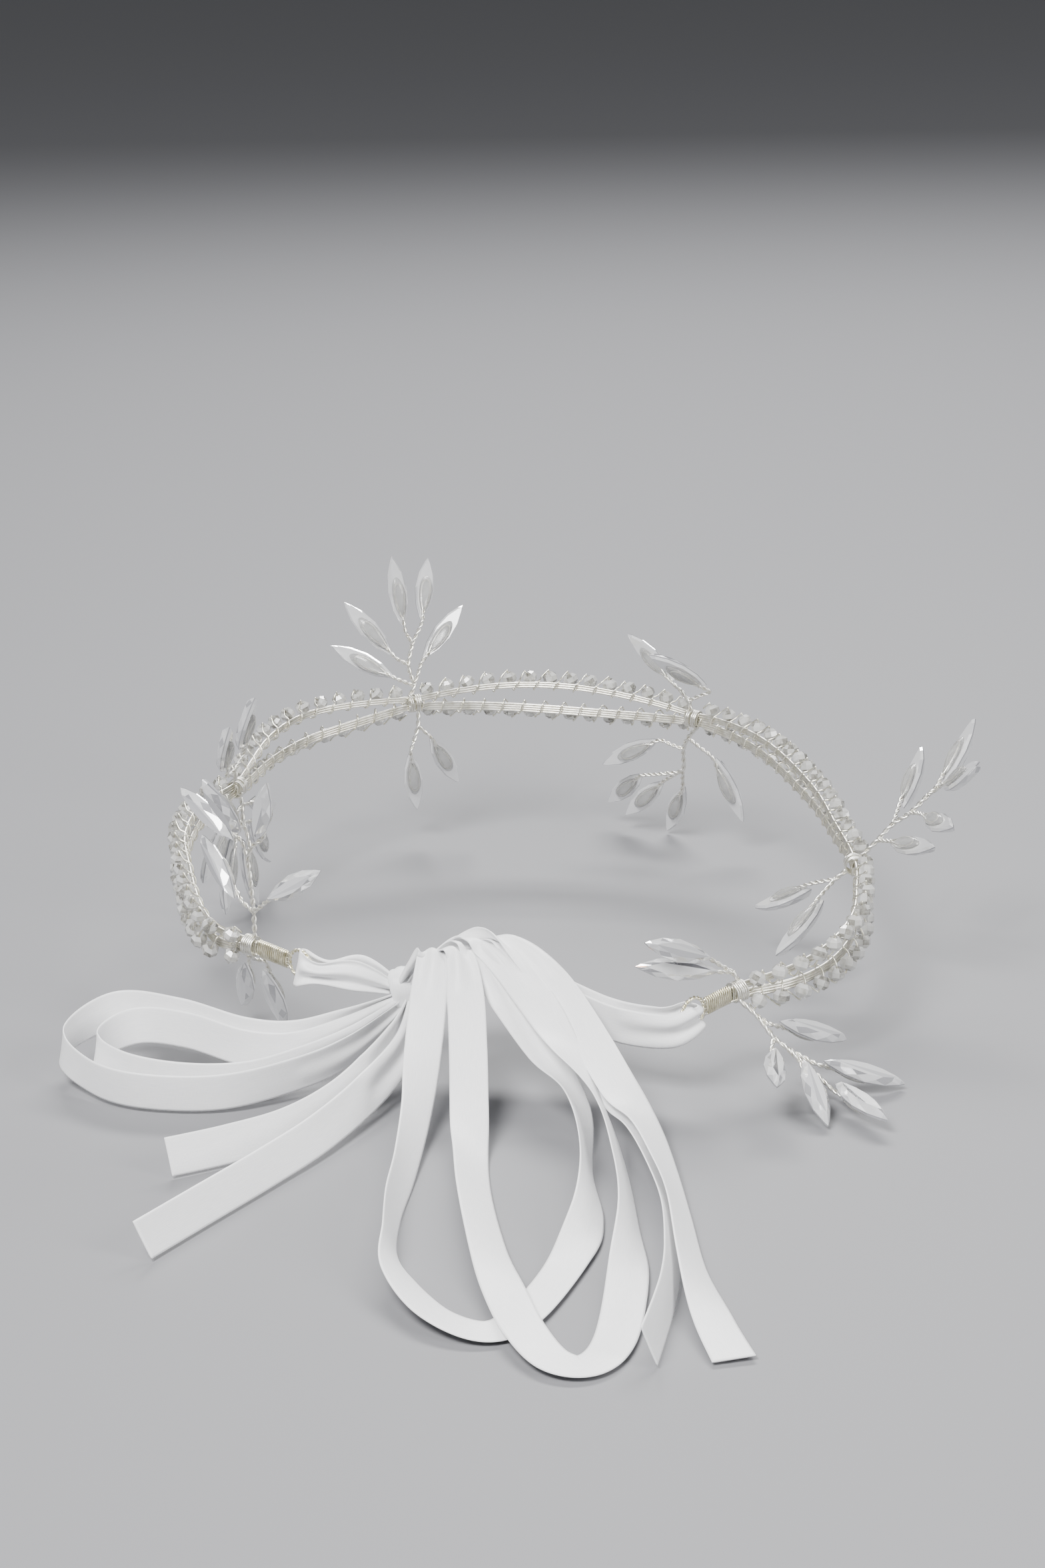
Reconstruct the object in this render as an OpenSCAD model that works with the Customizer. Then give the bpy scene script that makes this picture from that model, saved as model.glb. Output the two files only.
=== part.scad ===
// Wire and crystal hair crown with ribbon tie.
// All lengths in millimetres. +Z is up, the floor that the crown stands on is z = 0.

/* [Band] */
// Height of the band's middle line above the floor at its centre
band_h = 22; // [21.5:0.1:23]
// Rise of the band from front to back, per millimetre
band_slope = 0.125; // [0.1:0.005:0.14]
// Diameter of one straight core wire
core_d = 0.45; // [0.4:0.01:0.46]
// Distance between the middles of two core wires
core_pitch = 0.47; // [0.465:0.005:0.49]
// Diameter of the thin wire that carries the beads
wrap_d = 0.32; // [0.25:0.01:0.35]

/* [Beads] */
// Outer diameter of a glass seed bead
bead_d = 2.9; // [2.6:0.1:3]
// Length of a bead along its hole
bead_len = 2.3; // [2:0.1:2.4]
// Diameter of the hole in a bead
bead_hole = 1.1; // [1:0.05:1.2]
// Distance from a binding to the first bead
bead_margin = 3.2; // [3.1:0.1:3.4]

/* [Crystals] */
// Length of a leaf-shaped crystal
leaf_len = 15; // [14:0.5:15.5]
// Width of a crystal
leaf_w = 4; // [3.6:0.1:4.2]
// Height of the faceted front above the girdle
leaf_front = 1.3; // [1:0.1:1.5]
// Depth of the flat back below the girdle
leaf_back = 0.6; // [0.4:0.1:0.7]
// Length of the clear glue pad behind a crystal
pad_len = 8.5; // [7:0.5:9]
// Width of a glue pad
pad_w = 3.3; // [3:0.1:3.5]

/* [Stems] */
// Diameter of a two-strand twisted stem
stem_d = 0.8; // [0.7:0.05:0.9]
// Middle radius of the turns that bind a stem to the band
bind_r = 1.8; // [1.78:0.01:1.9]
// Diameter of the wire in those turns
bind_d = 0.38; // [0.34:0.01:0.4]

/* [Ribbon] */
// Width of the satin ribbon
ribbon_w = 6.4; // [5:0.2:6.6]
// Thickness of the ribbon
ribbon_t = 0.4; // [0.3:0.05:0.5]
// Radius of the bow's knot
knot_r = 3.3; // [3:0.1:3.6]
// Middle radius of the wire eye at each end of the band
eye_r = 2.6; // [2.4:0.1:2.8]

/* [Hidden] */
// Moves the model so that the middle of its footprint is the origin
place = [-10.46, -2.3, 0];

// ---------- small vector helpers ----------
function unit(v) = v / norm(v);
function flatten(l) = [for (a = l) each a];
// Catmull-Rom curve through a, b, c, d between b and c
function blend4(a, b, c, d, t) = 0.5 * ((2 * b) + (c - a) * t + (2 * a - 5 * b + 4 * c - d) * t * t
    + (3 * b - a - 3 * c + d) * t * t * t);
function pick(l, i) = l[max(0, min(len(l) - 1, i))];
// A smooth curve through the points of a route, with a number of steps to each stretch
function smooth(p, steps) = concat(
    [for (i = [0:len(p) - 2], k = [0:steps - 1])
        blend4(pick(p, i - 1), p[i], p[i + 1], pick(p, i + 2), k / steps)],
    [p[len(p) - 1]]);
function running(p) = [for (i = 0, a = 0; i < len(p);
    a = a + (i + 1 < len(p) ? norm(p[i + 1] - p[i]) : 0), i = i + 1) a];

// ---------- the band's middle line ----------
// Plan of the hand-bent band, from its left end round the back to its right end
band_plan = [[-40, -38], [-47, -32], [-53, -28], [-57, -19], [-60, -5], [-62, 9], [-60, 23],
    [-54, 34], [-49, 50], [-43, 60], [-35, 66], [-20, 72], [-2, 74], [16, 70], [37, 59], [49, 45],
    [57, 22], [60, 5], [62, -9], [61, -22], [59, -33], [54, -43], [47, -50], [37, -55], [31, -60]];
// Which points of the plan carry the six sprigs
binding_at = [1, 7, 11, 14, 18, 23];
band_steps = 12;
band_line = smooth([for (p = band_plan) [p.x, p.y, band_h + band_slope * p.y]], band_steps);
band_run = running(band_line);
band_len = band_run[len(band_run) - 1];
track = [for (k = [0:2]) [for (i = [0:len(band_line) - 1]) [band_run[i], band_line[i][k]]]];
function at(s) = [lookup(s, track[0]), lookup(s, track[1]), lookup(s, track[2])];
function along(s) = unit(at(min(s + 0.6, band_len)) - at(max(s - 0.6, 0)));
function outward(s) = unit(cross([0, 0, 1], along(s)));
function upward(s) = cross(along(s), outward(s));
// A point given by its place along the band, then outward, then up from the middle line
function on_band(s, u, v) = at(s) + u * outward(s) + v * upward(s);
bindings = [for (i = binding_at) band_run[i * band_steps]];

// ---------- the two strands ----------
// How far each strand bows away from the middle line between bindings
splay = [1.4, 2.0, 1.9, 1.0, 1.2];
strand_gap = 0.71;
function span_of(s) = s < bindings[0] || s > bindings[5] ? -1
    : s >= bindings[4] ? 4 : s >= bindings[3] ? 3 : s >= bindings[2] ? 2 : s >= bindings[1] ? 1 : 0;
function strand_v(s) = let (k = span_of(s)) k < 0 ? strand_gap
    : strand_gap + splay[k] * sin(180 * (s - bindings[k]) / (bindings[k + 1] - bindings[k]));
// 1 inside a binding, 0 a little way outside it
function gather(s) = max([for (b = bindings) min(1, max(0, (3 - abs(s - b)) / 1.4))]);
function upper_wire(s, j) = on_band(s, 0, strand_v(s) + (j - 1) * core_pitch);
function lower_wire(s, j) = let (g = gather(s), v = (1.5 - j) * core_pitch)
    j < 3 ? on_band(s, 0, -strand_v(s) + v - g * core_pitch / 2)
          : on_band(s, g * core_pitch, -strand_v(s) + v + g * core_pitch / 2);
// Places along the band where the core wires get a ring of points
core_stops = flatten([for (k = [-1:5])
    let (a = k < 0 ? 0 : bindings[k] + 1.6, b = k > 4 ? band_len : bindings[k + 1] - 1.6,
         n = ceil((b - a - 2.8) / 4))
    k < 0 || k > 4 ? [a, b] : concat([a], [for (i = [0:n]) a + 1.4 + (b - a - 2.8) * i / n], [b])]);

// ---------- closed tubes and lofts ----------
function turned(n, t) = unit(n - (n * t) * t);
function heading(p, i) = unit(pick(p, i + 1) - pick(p, i - 1));
function side_of(t) = turned(abs(t.z) < 0.9 ? [0, 0, 1] : [1, 0, 0], t);
// One side vector for each ring, carried along the line without twist
function sides_along(p) = [for (i = 0, n = side_of(heading(p, 0)); i < len(p);
    i = i + 1, n = i < len(p) ? turned(n, heading(p, i)) : n) n];
function ring_faces(rings, n) = concat(
    [[for (k = [0:n - 1]) k]],
    [[for (k = [n - 1:-1:0]) (rings - 1) * n + k]],
    [for (i = [0:rings - 2], k = [0:n - 1]) each [
        [i * n + k, (i + 1) * n + k, i * n + (k + 1) % n],
        [i * n + (k + 1) % n, (i + 1) * n + k, (i + 1) * n + (k + 1) % n]]]);
module rings(pts, count, n) { polyhedron(points = pts, faces = ring_faces(count, n), convexity = 8); }
module tube(p, r, n) {
    side = sides_along(p);
    rings([for (i = [0:len(p) - 1]) let (t = heading(p, i), a = side[i], b = cross(t, a))
        for (k = [0:n - 1]) p[i] + r * (cos(360 * k / n) * a + sin(360 * k / n) * b)], len(p), n);
}

// ---------- band modules ----------
module core_wire(upper, j) {
    tube([for (s = core_stops) upper ? upper_wire(s, j) : lower_wire(s, j)], core_d / 2, 4);
}
module upper_middle_wire() { color("gainsboro") core_wire(true, 1); }
module upper_side_wires() { color("gainsboro") for (j = [0, 2]) core_wire(true, j); }
module lower_middle_wire() { color("gainsboro") core_wire(false, 1); }
module lower_side_wires() { color("gainsboro") for (j = [0, 2, 3]) core_wire(false, j); }

bead_pitch = [4.4, 3.9, 4.3, 4.4, 4.3];
bead_u = 1.75;
bead_v = 1.1;
bead_count = [for (k = [0:4]) 1 + round((bindings[k + 1] - bindings[k] - 2 * bead_margin) / bead_pitch[k])];
function bead_s(k, i) = let (a = bindings[k] + bead_margin, b = bindings[k + 1] - bead_margin)
    a + (b - a) * i / (bead_count[k] - 1);
// Lean of each bead's hole from the band's direction, a little different on every bead
function bead_lean(k, i) = 115 + 14 * sin(137 * i + 60 * k);
function bead_mid(k, i, up) = let (s = bead_s(k, i)) on_band(s, bead_u, up * (strand_v(s) + bead_v));
function bead_axis(k, i, up) = let (s = bead_s(k, i), a = bead_lean(k, i))
    up * (cos(a) * along(s) + sin(a) * upward(s));
module point_along(d) { rotate([0, acos(d.z), atan2(d.y, d.x)]) children(); }
module bead_row(up) {
    for (k = [0:4], i = [0:bead_count[k] - 1])
        translate(bead_mid(k, i, up)) point_along(bead_axis(k, i, up))
            difference() {
                cylinder(d = bead_d, h = bead_len, center = true, $fn = 24);
                cylinder(d = bead_hole, h = bead_len + 1, center = true, $fn = 24);
            }
}
module upper_beads() { color("whitesmoke") bead_row(1); }
module lower_beads() { color("whitesmoke") bead_row(-1); }

// One turn of the wrap wire: [along, outward, up] from the bead's place on its strand,
// with h the half height of the core. It goes over the core, up and down through the bead's
// hole, under the core and back up across the inner side.
mouth = bead_len / 2 + 0.05;
function turn(k, i, h) = let (a = bead_lean(k, i), c = cos(a), s = sin(a)) [
    [-1.6, 0.9, 1.5],
    [c * (mouth + 0.5), bead_u - 0.1, bead_v + s * (mouth + 0.45)],
    [c * mouth, bead_u, bead_v + s * mouth],
    [-c * mouth, bead_u, bead_v - s * mouth],
    [0.9, 0.75, -h - 0.5],
    [1.25, -0.48, -h - 0.05],
    [1.8, -0.5, h - 0.2]];
function hop(h) = [2.25, -0.05, h + 0.34];
function wrap_path(k, up, h) = let (n = bead_count[k] - 1) [for (i0 = [0:n])
    let (i = up > 0 ? i0 : n - i0, s = bead_s(k, i), v = strand_v(s))
    for (q = concat(turn(k, i, h), i0 < n ? [hop(h)] : []))
        on_band(s + up * q[0], q[1], up * (v + q[2]))];
module wrap(up, h) {
    for (k = [0:4]) tube(wrap_path(k, up, h), wrap_d / 2, 3);
}
module upper_wrap_wire() { color("gainsboro") wrap(1, core_pitch + core_d / 2); }
module lower_wrap_wire() { color("gainsboro") wrap(-1, 1.5 * core_pitch + core_d / 2); }

module ring_eye(s, dir) {
    c = at(s) + dir * (eye_r + 0.1) * along(s);
    color("gainsboro") translate(c) point_along(outward(s))
        rotate_extrude($fn = 32) translate([eye_r, 0]) circle(d = 0.7, $fn = 16);
}
module left_ribbon_eye() { ring_eye(0, -1); }
module right_ribbon_eye() { ring_eye(band_len, 1); }

// ---------- sprigs ----------
// Each sprig has a top and a low branch. A branch is [lean, stem, leaves]. lean is the angle
// of the branch's plane, outward from upright. stem lists points [along the band, out from it]
// in that plane. A leaf is [stem point that its stalk leaves, along, out, side angle, lean].
SPRIGS = [
  [ [0, [[-0.7, 1.8], [-0.5, 6.5], [0.2, 12], [0.8, 16], [0.2, 18.5]],
      [[3, 3, 19.6, 66, -6], [4, 1.4, 21.4, 4, 36], [1, 2.9, 8.6, 58, -20], [4, -2.7, 21.3, -24, 18],
       [1, -4.6, 10.2, -54, 0]]],
    [-20, [[0.7, 1.8], [0.3, 3.2]],
      [[1, -2.4, 3.8, 2, -8], [1, 1.8, 3.7, 22, -8]]] ],
  [ [-5, [[-0.7, 1.8], [-0.6, 4.2]],
      [[1, 3.6, 6.4, -14, -22], [1, -4.2, 5, -24, -20]]],
    [-4, [[0.7, 1.8], [0.3, 4], [-0.3, 7.5], [0, 9]],
      [[3, 0.3, 11.4, 2, 0], [2, 4.6, 9.6, 32, 8], [2, -4.2, 9, -26, 2], [1, 5, 5.6, 64, 6], [1, -5, 5.4, -64, -2]]] ],
  [ [10, [[-0.7, 1.8], [0.4, 3.6], [-0.3, 8], [0.9, 12], [0.3, 14]],
      [[4, -0.2, 15.8, -3, 0], [3, 3.6, 16.6, 20, 30], [1, 2.9, 8.5, 47, 15], [2, -3, 10.2, -35, 12],
       [1, -3.2, 5.6, -56, 22]]],
    [-5, [[0.7, 1.8], [0.4, 4.8], [-0.8, 8]],
      [[2, -1.7, 10.4, 6, 22], [1, 2.9, 7.8, 28, 25]]] ],
  [ [-5, [[-0.7, 1.8], [-1.4, 3.6], [-3, 5.4]],
      [[2, -5.2, 6.8, -64, 10], [1, 2.4, 7.4, -40, -42]]],
    [12, [[0.7, 1.8], [-1.8, 5], [-3.2, 8], [-3.8, 13], [-8, 15]],
      [[1, 4.1, 8.8, 20, 2], [2, -10, 8, -60, -14], [4, -15, 17.6, -46, 6], [3, -9.6, 17.8, -44, -2],
       [3, -4.4, 17.75, -26, 6]]] ],
  [ [47, [[-0.7, 1.8], [-1.2, 6], [-2, 10], [-0.8, 14], [-1.4, 18.5]],
      [[2, -6.6, 12.6, -56, -4], [4, -2.6, 21.5, -41, -5], [4, -0.8, 21.4, 46, -18], [3, 2.2, 15.7, 70, -6],
       [1, 1.4, 7.6, 58, 0]]],
    [-60, [[0.7, 1.8], [1.4, 4.2]],
      [[1, -2, 9.4, -36, 8], [1, 4.2, 7.8, 40, 0]]] ],
  [ [-20, [[-0.7, 1.8], [0, 3.4]],
      [[1, 4, 6.9, 64, 10], [1, 3.2, 4.4, 70, -12]]],
    [56.5, [[0.7, 1.8], [-0.4, 6], [-0.6, 10.5], [-1.6, 13.5], [-3.2, 19.5]],
      [[1, -2.6, 8.8, -70, -22], [3, -5.2, 18.6, -56, -8], [3, -2, 17, 20, 8], [4, -4.4, 23.4, 4, 30],
       [2, 1.8, 13.4, 40, 28]]] ]
];
// Unit vectors of a branch: along the band, out along the branch, outward from the head
function branch_frame(i, up) = let (s = bindings[i], a = SPRIGS[i][up > 0 ? 0 : 1][0],
    t = along(s), o = outward(s), w = upward(s))
    [t, up * cos(a) * w + sin(a) * o, -up * sin(a) * w + cos(a) * o];
function in_branch(i, f, p, n) = at(bindings[i]) + p[0] * f[0] + p[1] * f[1] + n * f[2];
// Frame of a leaf: [inner end, direction, across, front]
stalk_depth = leaf_back + stem_d / 2 + 0.2;
function leaf_frame(i, f, q) = let (
    d = cos(q[4]) * (cos(q[3]) * f[1] + sin(q[3]) * f[0]) + sin(q[4]) * f[2],
    n = cos(q[4]) * f[2] - sin(q[4]) * (cos(q[3]) * f[1] + sin(q[3]) * f[0]))
    [in_branch(i, f, [q[1], q[2]], stalk_depth), d, cross(n, d), n];
function in_leaf(l, x, y, z) = l[0] + x * l[1] + y * l[2] + z * l[3];

// Crystal: a long pointed oval with cut tips, a faceted front and a flat back
leaf_stops = [[0, 0.25], [0.2, 0.8], [0.5, 1], [0.8, 0.8], [1, 0.25]];
module crystal(l) {
    w = leaf_w / 2;
    rings([for (q = leaf_stops) let (x = q[0] * leaf_len, k = q[1] * w, f = leaf_front * (0.35 + 0.65 * q[1]))
        for (c = [[k, 0], [0.4 * k, f], [-0.4 * k, f], [-k, 0], [-0.75 * k, -leaf_back], [0.75 * k, -leaf_back]])
            in_leaf(l, x, c[0], c[1])], len(leaf_stops), 6);
}
// Glue pad: a flat-topped teardrop against the crystal's back
pad_stops = [[0, 0.3, 0.62], [0.3, 0.7, 0.85], [0.65, 1, 1], [0.9, 0.7, 0.8], [1, 0.25, 0.5]];
pad_start = 2;
pad_t = 1.2;
module pad(l) {
    w = pad_w / 2;
    top = -leaf_back - 0.01;
    rings([for (q = pad_stops) let (x = pad_start + q[0] * pad_len, k = q[1] * w, h = q[2] * pad_t)
        for (c = [[k, top], [-k, top], [-0.8 * k, top - h * 0.7], [-0.3 * k, top - h],
                  [0.3 * k, top - h], [0.8 * k, top - h * 0.7]])
            in_leaf(l, x, c[0], c[1])], len(pad_stops), 6);
}
// Turns of wire round both strands, then the stem and its stalks
bind_turns = 1.75;
module branch_stem(i, up) {
    b = SPRIGS[i][up > 0 ? 0 : 1];
    f = branch_frame(i, up);
    stem = [for (p = b[1]) in_branch(i, f, p, 0)];
    steps = round(12 * bind_turns);
    color("gainsboro") {
        tube([for (k = [0:steps]) let (a = 30 * k)
            in_branch(i, f, [-up * (0.34 + 0.8 * k / steps), 0], 0)
            + bind_r * (cos(a) * f[1] + sin(a) * f[2])], bind_d / 2, 4);
        tube(stem, stem_d / 2, 5);
        for (q = b[2]) let (l = leaf_frame(i, f, q))
            tube([stem[q[0]], in_leaf(l, -0.8, 0, -stalk_depth), in_leaf(l, pad_start + 0.6, 0, -stalk_depth)],
                 stem_d / 2 - 0.05, 5);
    }
}
module branch_crystals(i, up) {
    f = branch_frame(i, up);
    color("ghostwhite") for (q = SPRIGS[i][up > 0 ? 0 : 1][2]) crystal(leaf_frame(i, f, q));
}
module branch_pads(i, up) {
    f = branch_frame(i, up);
    color("lavender") for (q = SPRIGS[i][up > 0 ? 0 : 1][2]) pad(leaf_frame(i, f, q));
}

// ---------- ribbon ----------
// A route point is [x, y, z, width factor, hint x, hint y, hint z]: the ribbon's width
// lies along the hint, and the width factor gathers the ribbon where it is tied.
KNOT = [-19.4, -42.6, 12.6];
// Each run is one length doubled through its wire eye, both halves going back to the knot
LEFT_RUN = [[-22, -41.6, 14, 0.35, 0, 0.3, 1], [-27.6, -40.4, 16, 0.8, 0, 0.2, 1],
    [-33, -39.6, 16.6, 0.7, 0, 0, 1], [-36.8, -38.4, 17, 0.6, 0, 0, 1], [-38, -39.8, 17, 0.6, 0, 0, 1],
    [-38.3, -41.8, 17, 0.7, 0, 0, 1], [-35, -43.2, 16.6, 0.7, 0, 0, 1], [-28.6, -43.4, 16, 0.9, 0, 0.2, 1],
    [-22.2, -43.4, 13.6, 0.35, 0, 0.2, 1]];
RIGHT_RUN = [[-16.4, -40.8, 13, 0.35, 0, 0, 1], [-6.8, -41.2, 15.4, 0.8, 0, 0, 1], [1.4, -45, 15.2, 0.9, 0, 0, 1],
    [8.4, -50, 13.2, 1, 0, 0, 1], [16, -55.6, 11.6, 1, 0, 0, 1], [23.2, -59.9, 12, 0.9, 0, 0, 1],
    [27.6, -60.4, 13.8, 0.6, 0, 0, 1], [28.9, -61.8, 14.3, 0.6, 0, 0, 1], [29.8, -63.4, 14, 0.7, 0, 0, 1],
    [25, -63.8, 11.8, 0.9, 0, 0, 1], [16.4, -59.1, 11.4, 1, 0, 0, 1], [8.6, -53.4, 13, 1, 0, 0, 1],
    [1.6, -48.4, 15, 0.9, 0, 0, 1], [-6.2, -44.4, 15, 0.8, 0, 0, 1], [-16.2, -42.9, 12.2, 0.35, 0, 0, 1]];
module ribbon(route, steps) {
    line = smooth(route, steps);
    p = [for (q = line) [q[0], q[1], q[2]]];
    color("white") rings([for (i = [0:len(p) - 1]) let (t = heading(p, i),
            w = turned([line[i][4], line[i][5], line[i][6]], t), n = cross(t, w),
            a = line[i][3] * ribbon_w / 2, b = ribbon_t / 2)
        for (c = [[a, -0.5 * b], [a, 0.5 * b], [0.9 * a, b], [-0.9 * a, b], [-a, 0.5 * b], [-a, -0.5 * b],
                  [-0.9 * a, -b], [0.9 * a, -b]]) p[i] + c[0] * w + c[1] * n], len(p), 8);
}
LOOP_OUTER = [[-22, -43.6, 11.4, 0.35, 0, 0.3, 1], [-30.1, -48.8, 9.2, 0.9, 0, 0.2, 1],
    [-38.8, -51, 7.8, 1, 0, 0.2, 1], [-47.6, -49.6, 8.2, 1, 0, 0.2, 1], [-59.3, -42.6, 9.4, 1, 0, 0.2, 1],
    [-71, -37.6, 9, 1, 0, 0.2, 1], [-79.6, -45.4, 6.2, 1, 0.2, 0, 1], [-74.4, -54.8, 4.2, 1, 0, 0, 1],
    [-65.4, -61.4, 3.7, 1, 0, 0, 1], [-51.2, -63.6, 3.7, 1, 0, 0, 1], [-38.5, -59.6, 4.8, 1, 0, -0.1, 1],
    [-29.6, -54.4, 6.6, 0.9, 0, 0, 1], [-20.8, -45, 10.6, 0.35, 0, 0.3, 1]];
LOOP_INNER = [[-21.6, -44.2, 11, 0.35, 0, 0.3, 1], [-29.6, -50.6, 8.4, 0.9, 0, 0.2, 1],
    [-38.6, -53.2, 6.6, 1, 0, 0.2, 1], [-47.4, -52, 6.8, 1, 0, 0.2, 1], [-58, -45.8, 8, 1, 0, 0.2, 1],
    [-67.4, -42.2, 7.6, 1, 0, 0.2, 1], [-73.6, -47.4, 5.8, 1, 0.2, 0, 1], [-68, -54.4, 4.8, 1, 0, 0, 1],
    [-58, -59.2, 4.4, 1, 0, 0, 1], [-47, -60.4, 4.6, 1, 0, 0, 1], [-37.4, -56.8, 5.6, 1, 0, 0, 1],
    [-29.4, -52.6, 7.4, 0.9, 0, 0.1, 1], [-21.2, -44.6, 10.8, 0.35, 0, 0.3, 1]];
FRONT_LEFT = [[-19.8, -44.6, 15, 0.35, 1, 0, -0.3], [-17.6, -46.6, 18.6, 0.5, 1, 0, -0.3],
    [-14.8, -48.4, 21.6, 0.8, 1, 0, 0], [-15.5, -55.4, 16, 1, 1, 0, 0], [-16.5, -66, 10.4, 1, 0.93, 0, -0.37],
    [-17.6, -76.6, 5, 1, 0.68, 0, -0.73], [-19.2, -94.2, 3.1, 1, 0.45, 0, -0.9], [-20.6, -108.5, 3.3, 1, 0.3, 0, -0.95],
    [-20.7, -121, 3.3, 1, 0.3, 0.1, -0.95], [-19.2, -130.8, 2.3, 1, 0.79, 0.22, -0.57], [-13.8, -141.5, 1.3, 1, 0.81, 0.52, -0.28],
    [-6.4, -146.4, 0.6, 1, -0.1, 1, 0], [-0.8, -141.6, 0.6, 1, -1, 0.6, 0], [6, -125, 0.6, 1, -1, 0.4, 0],
    [9.6, -111.6, 2.6, 1, -0.7, 0, 0.7], [9.7, -94.3, 3.4, 1, -0.3, 0, 0.95], [8.9, -76, 5.5, 1, -0.7, 0, 0.7],
    [3.6, -65, 9.9, 1, -1, 0.2, 0.2], [-1.7, -55.4, 15, 1, -1, 0.2, 0], [-6.6, -48.4, 20.2, 0.8, -1, 0.2, 0],
    [-10, -45.8, 21, 0.6, -0.85, 0, 0.5], [-14, -44.6, 18.4, 0.45, -0.5, 0, 0.8],
    [-17.6, -43.8, 15, 0.35, -0.5, 0, 0.8]];
FRONT_RIGHT = [[-18.4, -44.6, 14.9, 0.35, 1, 0, -0.3], [-15.2, -46.6, 18.8, 0.5, 1, 0, -0.3],
    [-10.4, -48.8, 21.6, 0.7, 1, 0, -0.2], [-9.2, -55.6, 16.4, 1, 1, 0, 0], [-8.9, -66, 10.6, 1, 1, 0, 0],
    [-8.9, -76, 5.4, 1, 1, 0, 0], [-8.8, -86.6, 2, 1, 0.88, 0, -0.45], [-8.1, -102.1, 2, 1, 0.85, 0, -0.5],
    [-5.9, -122.8, 1.9, 1, 0.9, 0.1, -0.35], [-3.6, -136, 1.6, 1, 1, 0.3, 0], [-0.8, -148, 1.6, 1, 0.9, 0.7, 0],
    [3.1, -156, 0.9, 1, 0.4, 1, 0], [8, -157.4, 0.6, 1, -0.4, 1, 0], [12, -150.4, 0.6, 1, -1, 0.5, 0],
    [14.6, -133, 1.3, 1, -0.95, 0.1, 0.25], [15.6, -116, 3.1, 1, -0.5, 0, 0.85], [15.1, -97, 3.3, 1, -0.4, 0, 0.9],
    [12.8, -82, 6.4, 1, -0.45, 0, 0.9], [7.5, -68, 11, 1, -0.85, 0.2, 0.45], [2.3, -57, 16.2, 1, -1, 0.2, 0],
    [-3.8, -47.4, 20.9, 0.8, -1, 0.2, 0.2], [-8.4, -44, 21.6, 0.6, -0.85, 0, 0.5],
    [-13.4, -43, 18.9, 0.45, -0.5, 0, 0.8], [-18, -42.4, 15.5, 0.35, -0.5, 0, 0.8]];
TAIL_SHORT = [[-19.6, -45.4, 11, 0.35, -0.4, 0.3, 0.85], [-21.2, -52.8, 8.2, 0.8, -0.4, 0.3, 0.85],
    [-25.7, -62, 5.7, 1, -0.4, 0.3, 0.85], [-31.5, -70.9, 4.2, 1, -0.4, 0.3, 0.85],
    [-39, -78.4, 3.4, 1, -0.4, 0.3, 0.85], [-48.4, -83.6, 3.1, 1, -0.4, 0.3, 0.85],
    [-57.4, -87.7, 3.1, 1, -0.4, 0.3, 0.85]];
TAIL_LONG = [[-19, -45.3, 10.9, 0.35, -0.2, 0.3, 0.85], [-20.2, -55.6, 7, 0.8, -0.4, 0.3, 0.85],
    [-26, -68.2, 4.6, 1, -0.4, 0.3, 0.85], [-33.3, -81.5, 3.6, 1, -0.4, 0.3, 0.85],
    [-41.2, -93.1, 3.2, 1, -0.4, 0.3, 0.85], [-50.7, -106.5, 3.1, 1, -0.4, 0.3, 0.85],
    [-58.5, -117.7, 3.1, 1, -0.4, 0.3, 0.85]];
TAIL_OUTER = [[-17.2, -41.8, 14.6, 0.35, -0.5, 0, 0.8], [-12, -41, 18.6, 0.45, -0.5, 0, 0.8],
    [-5.6, -42.2, 21.6, 0.6, -0.85, 0, 0.5], [-1, -46, 21.9, 0.8, -1, 0.2, 0.2], [5.6, -54, 17.4, 1, -1, 0.2, 0],
    [11.2, -64, 11.8, 1, -1, 0.2, 0], [16, -76, 7, 1, -1, 0.1, 0], [19.8, -86, 4.9, 1, -0.85, 0, 0.5],
    [22, -98.8, 3.7, 1, -0.7, 0, 0.7], [23.4, -112.4, 3.2, 1, -0.6, 0, 0.8], [24.3, -130.2, 2.6, 1, -0.7, 0.1, 0.68],
    [26.4, -146.2, 1.1, 1, -0.95, 0.3, 0.22], [28.5, -157, 0.5, 1, -1, 0.3, 0]];
TAIL_INNER = [[-16.6, -42.2, 14, 0.35, -0.5, 0, 0.8], [-11.4, -41.6, 17.6, 0.45, -0.5, 0, 0.8],
    [-6, -42.8, 19.6, 0.6, -0.85, 0, 0.5], [-1.2, -45.6, 20, 0.8, -1, 0.2, 0.2], [5, -52.8, 16, 1, -1, 0.2, 0],
    [10.6, -63, 10.4, 1, -1, 0.2, 0], [15.8, -75.6, 5.4, 1, -1, 0.1, 0], [18.9, -86.4, 3.5, 1, -0.8, 0, 0.6],
    [20.4, -100.2, 3, 1, -0.5, 0, 0.85], [21.8, -116.1, 3.2, 1, -0.4, 0, 0.9], [21.4, -130.8, 3.3, 1, -0.35, 0, 0.93],
    [20.3, -140.2, 3.3, 1, -0.3, 0, 0.95], [18.7, -148.3, 3.3, 1, -0.3, 0, 0.95], [16.6, -157.6, 3.3, 1, -0.35, 0, 0.93]];
module ribbon_left_run() { ribbon(LEFT_RUN, 1); }
module ribbon_right_run() { ribbon(RIGHT_RUN, 1); }
module bow_left_loop_outer() { ribbon(LOOP_OUTER, 1); }
module bow_left_loop_inner() { ribbon(LOOP_INNER, 1); }
module bow_front_loop_left() { ribbon(FRONT_LEFT, 1); }
module bow_front_loop_right() { ribbon(FRONT_RIGHT, 1); }
module tail_left_short() { ribbon(TAIL_SHORT, 1); }
module tail_left_long() { ribbon(TAIL_LONG, 1); }
module tail_right_outer() { ribbon(TAIL_OUTER, 1); }
module tail_right_inner() { ribbon(TAIL_INNER, 1); }
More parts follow.
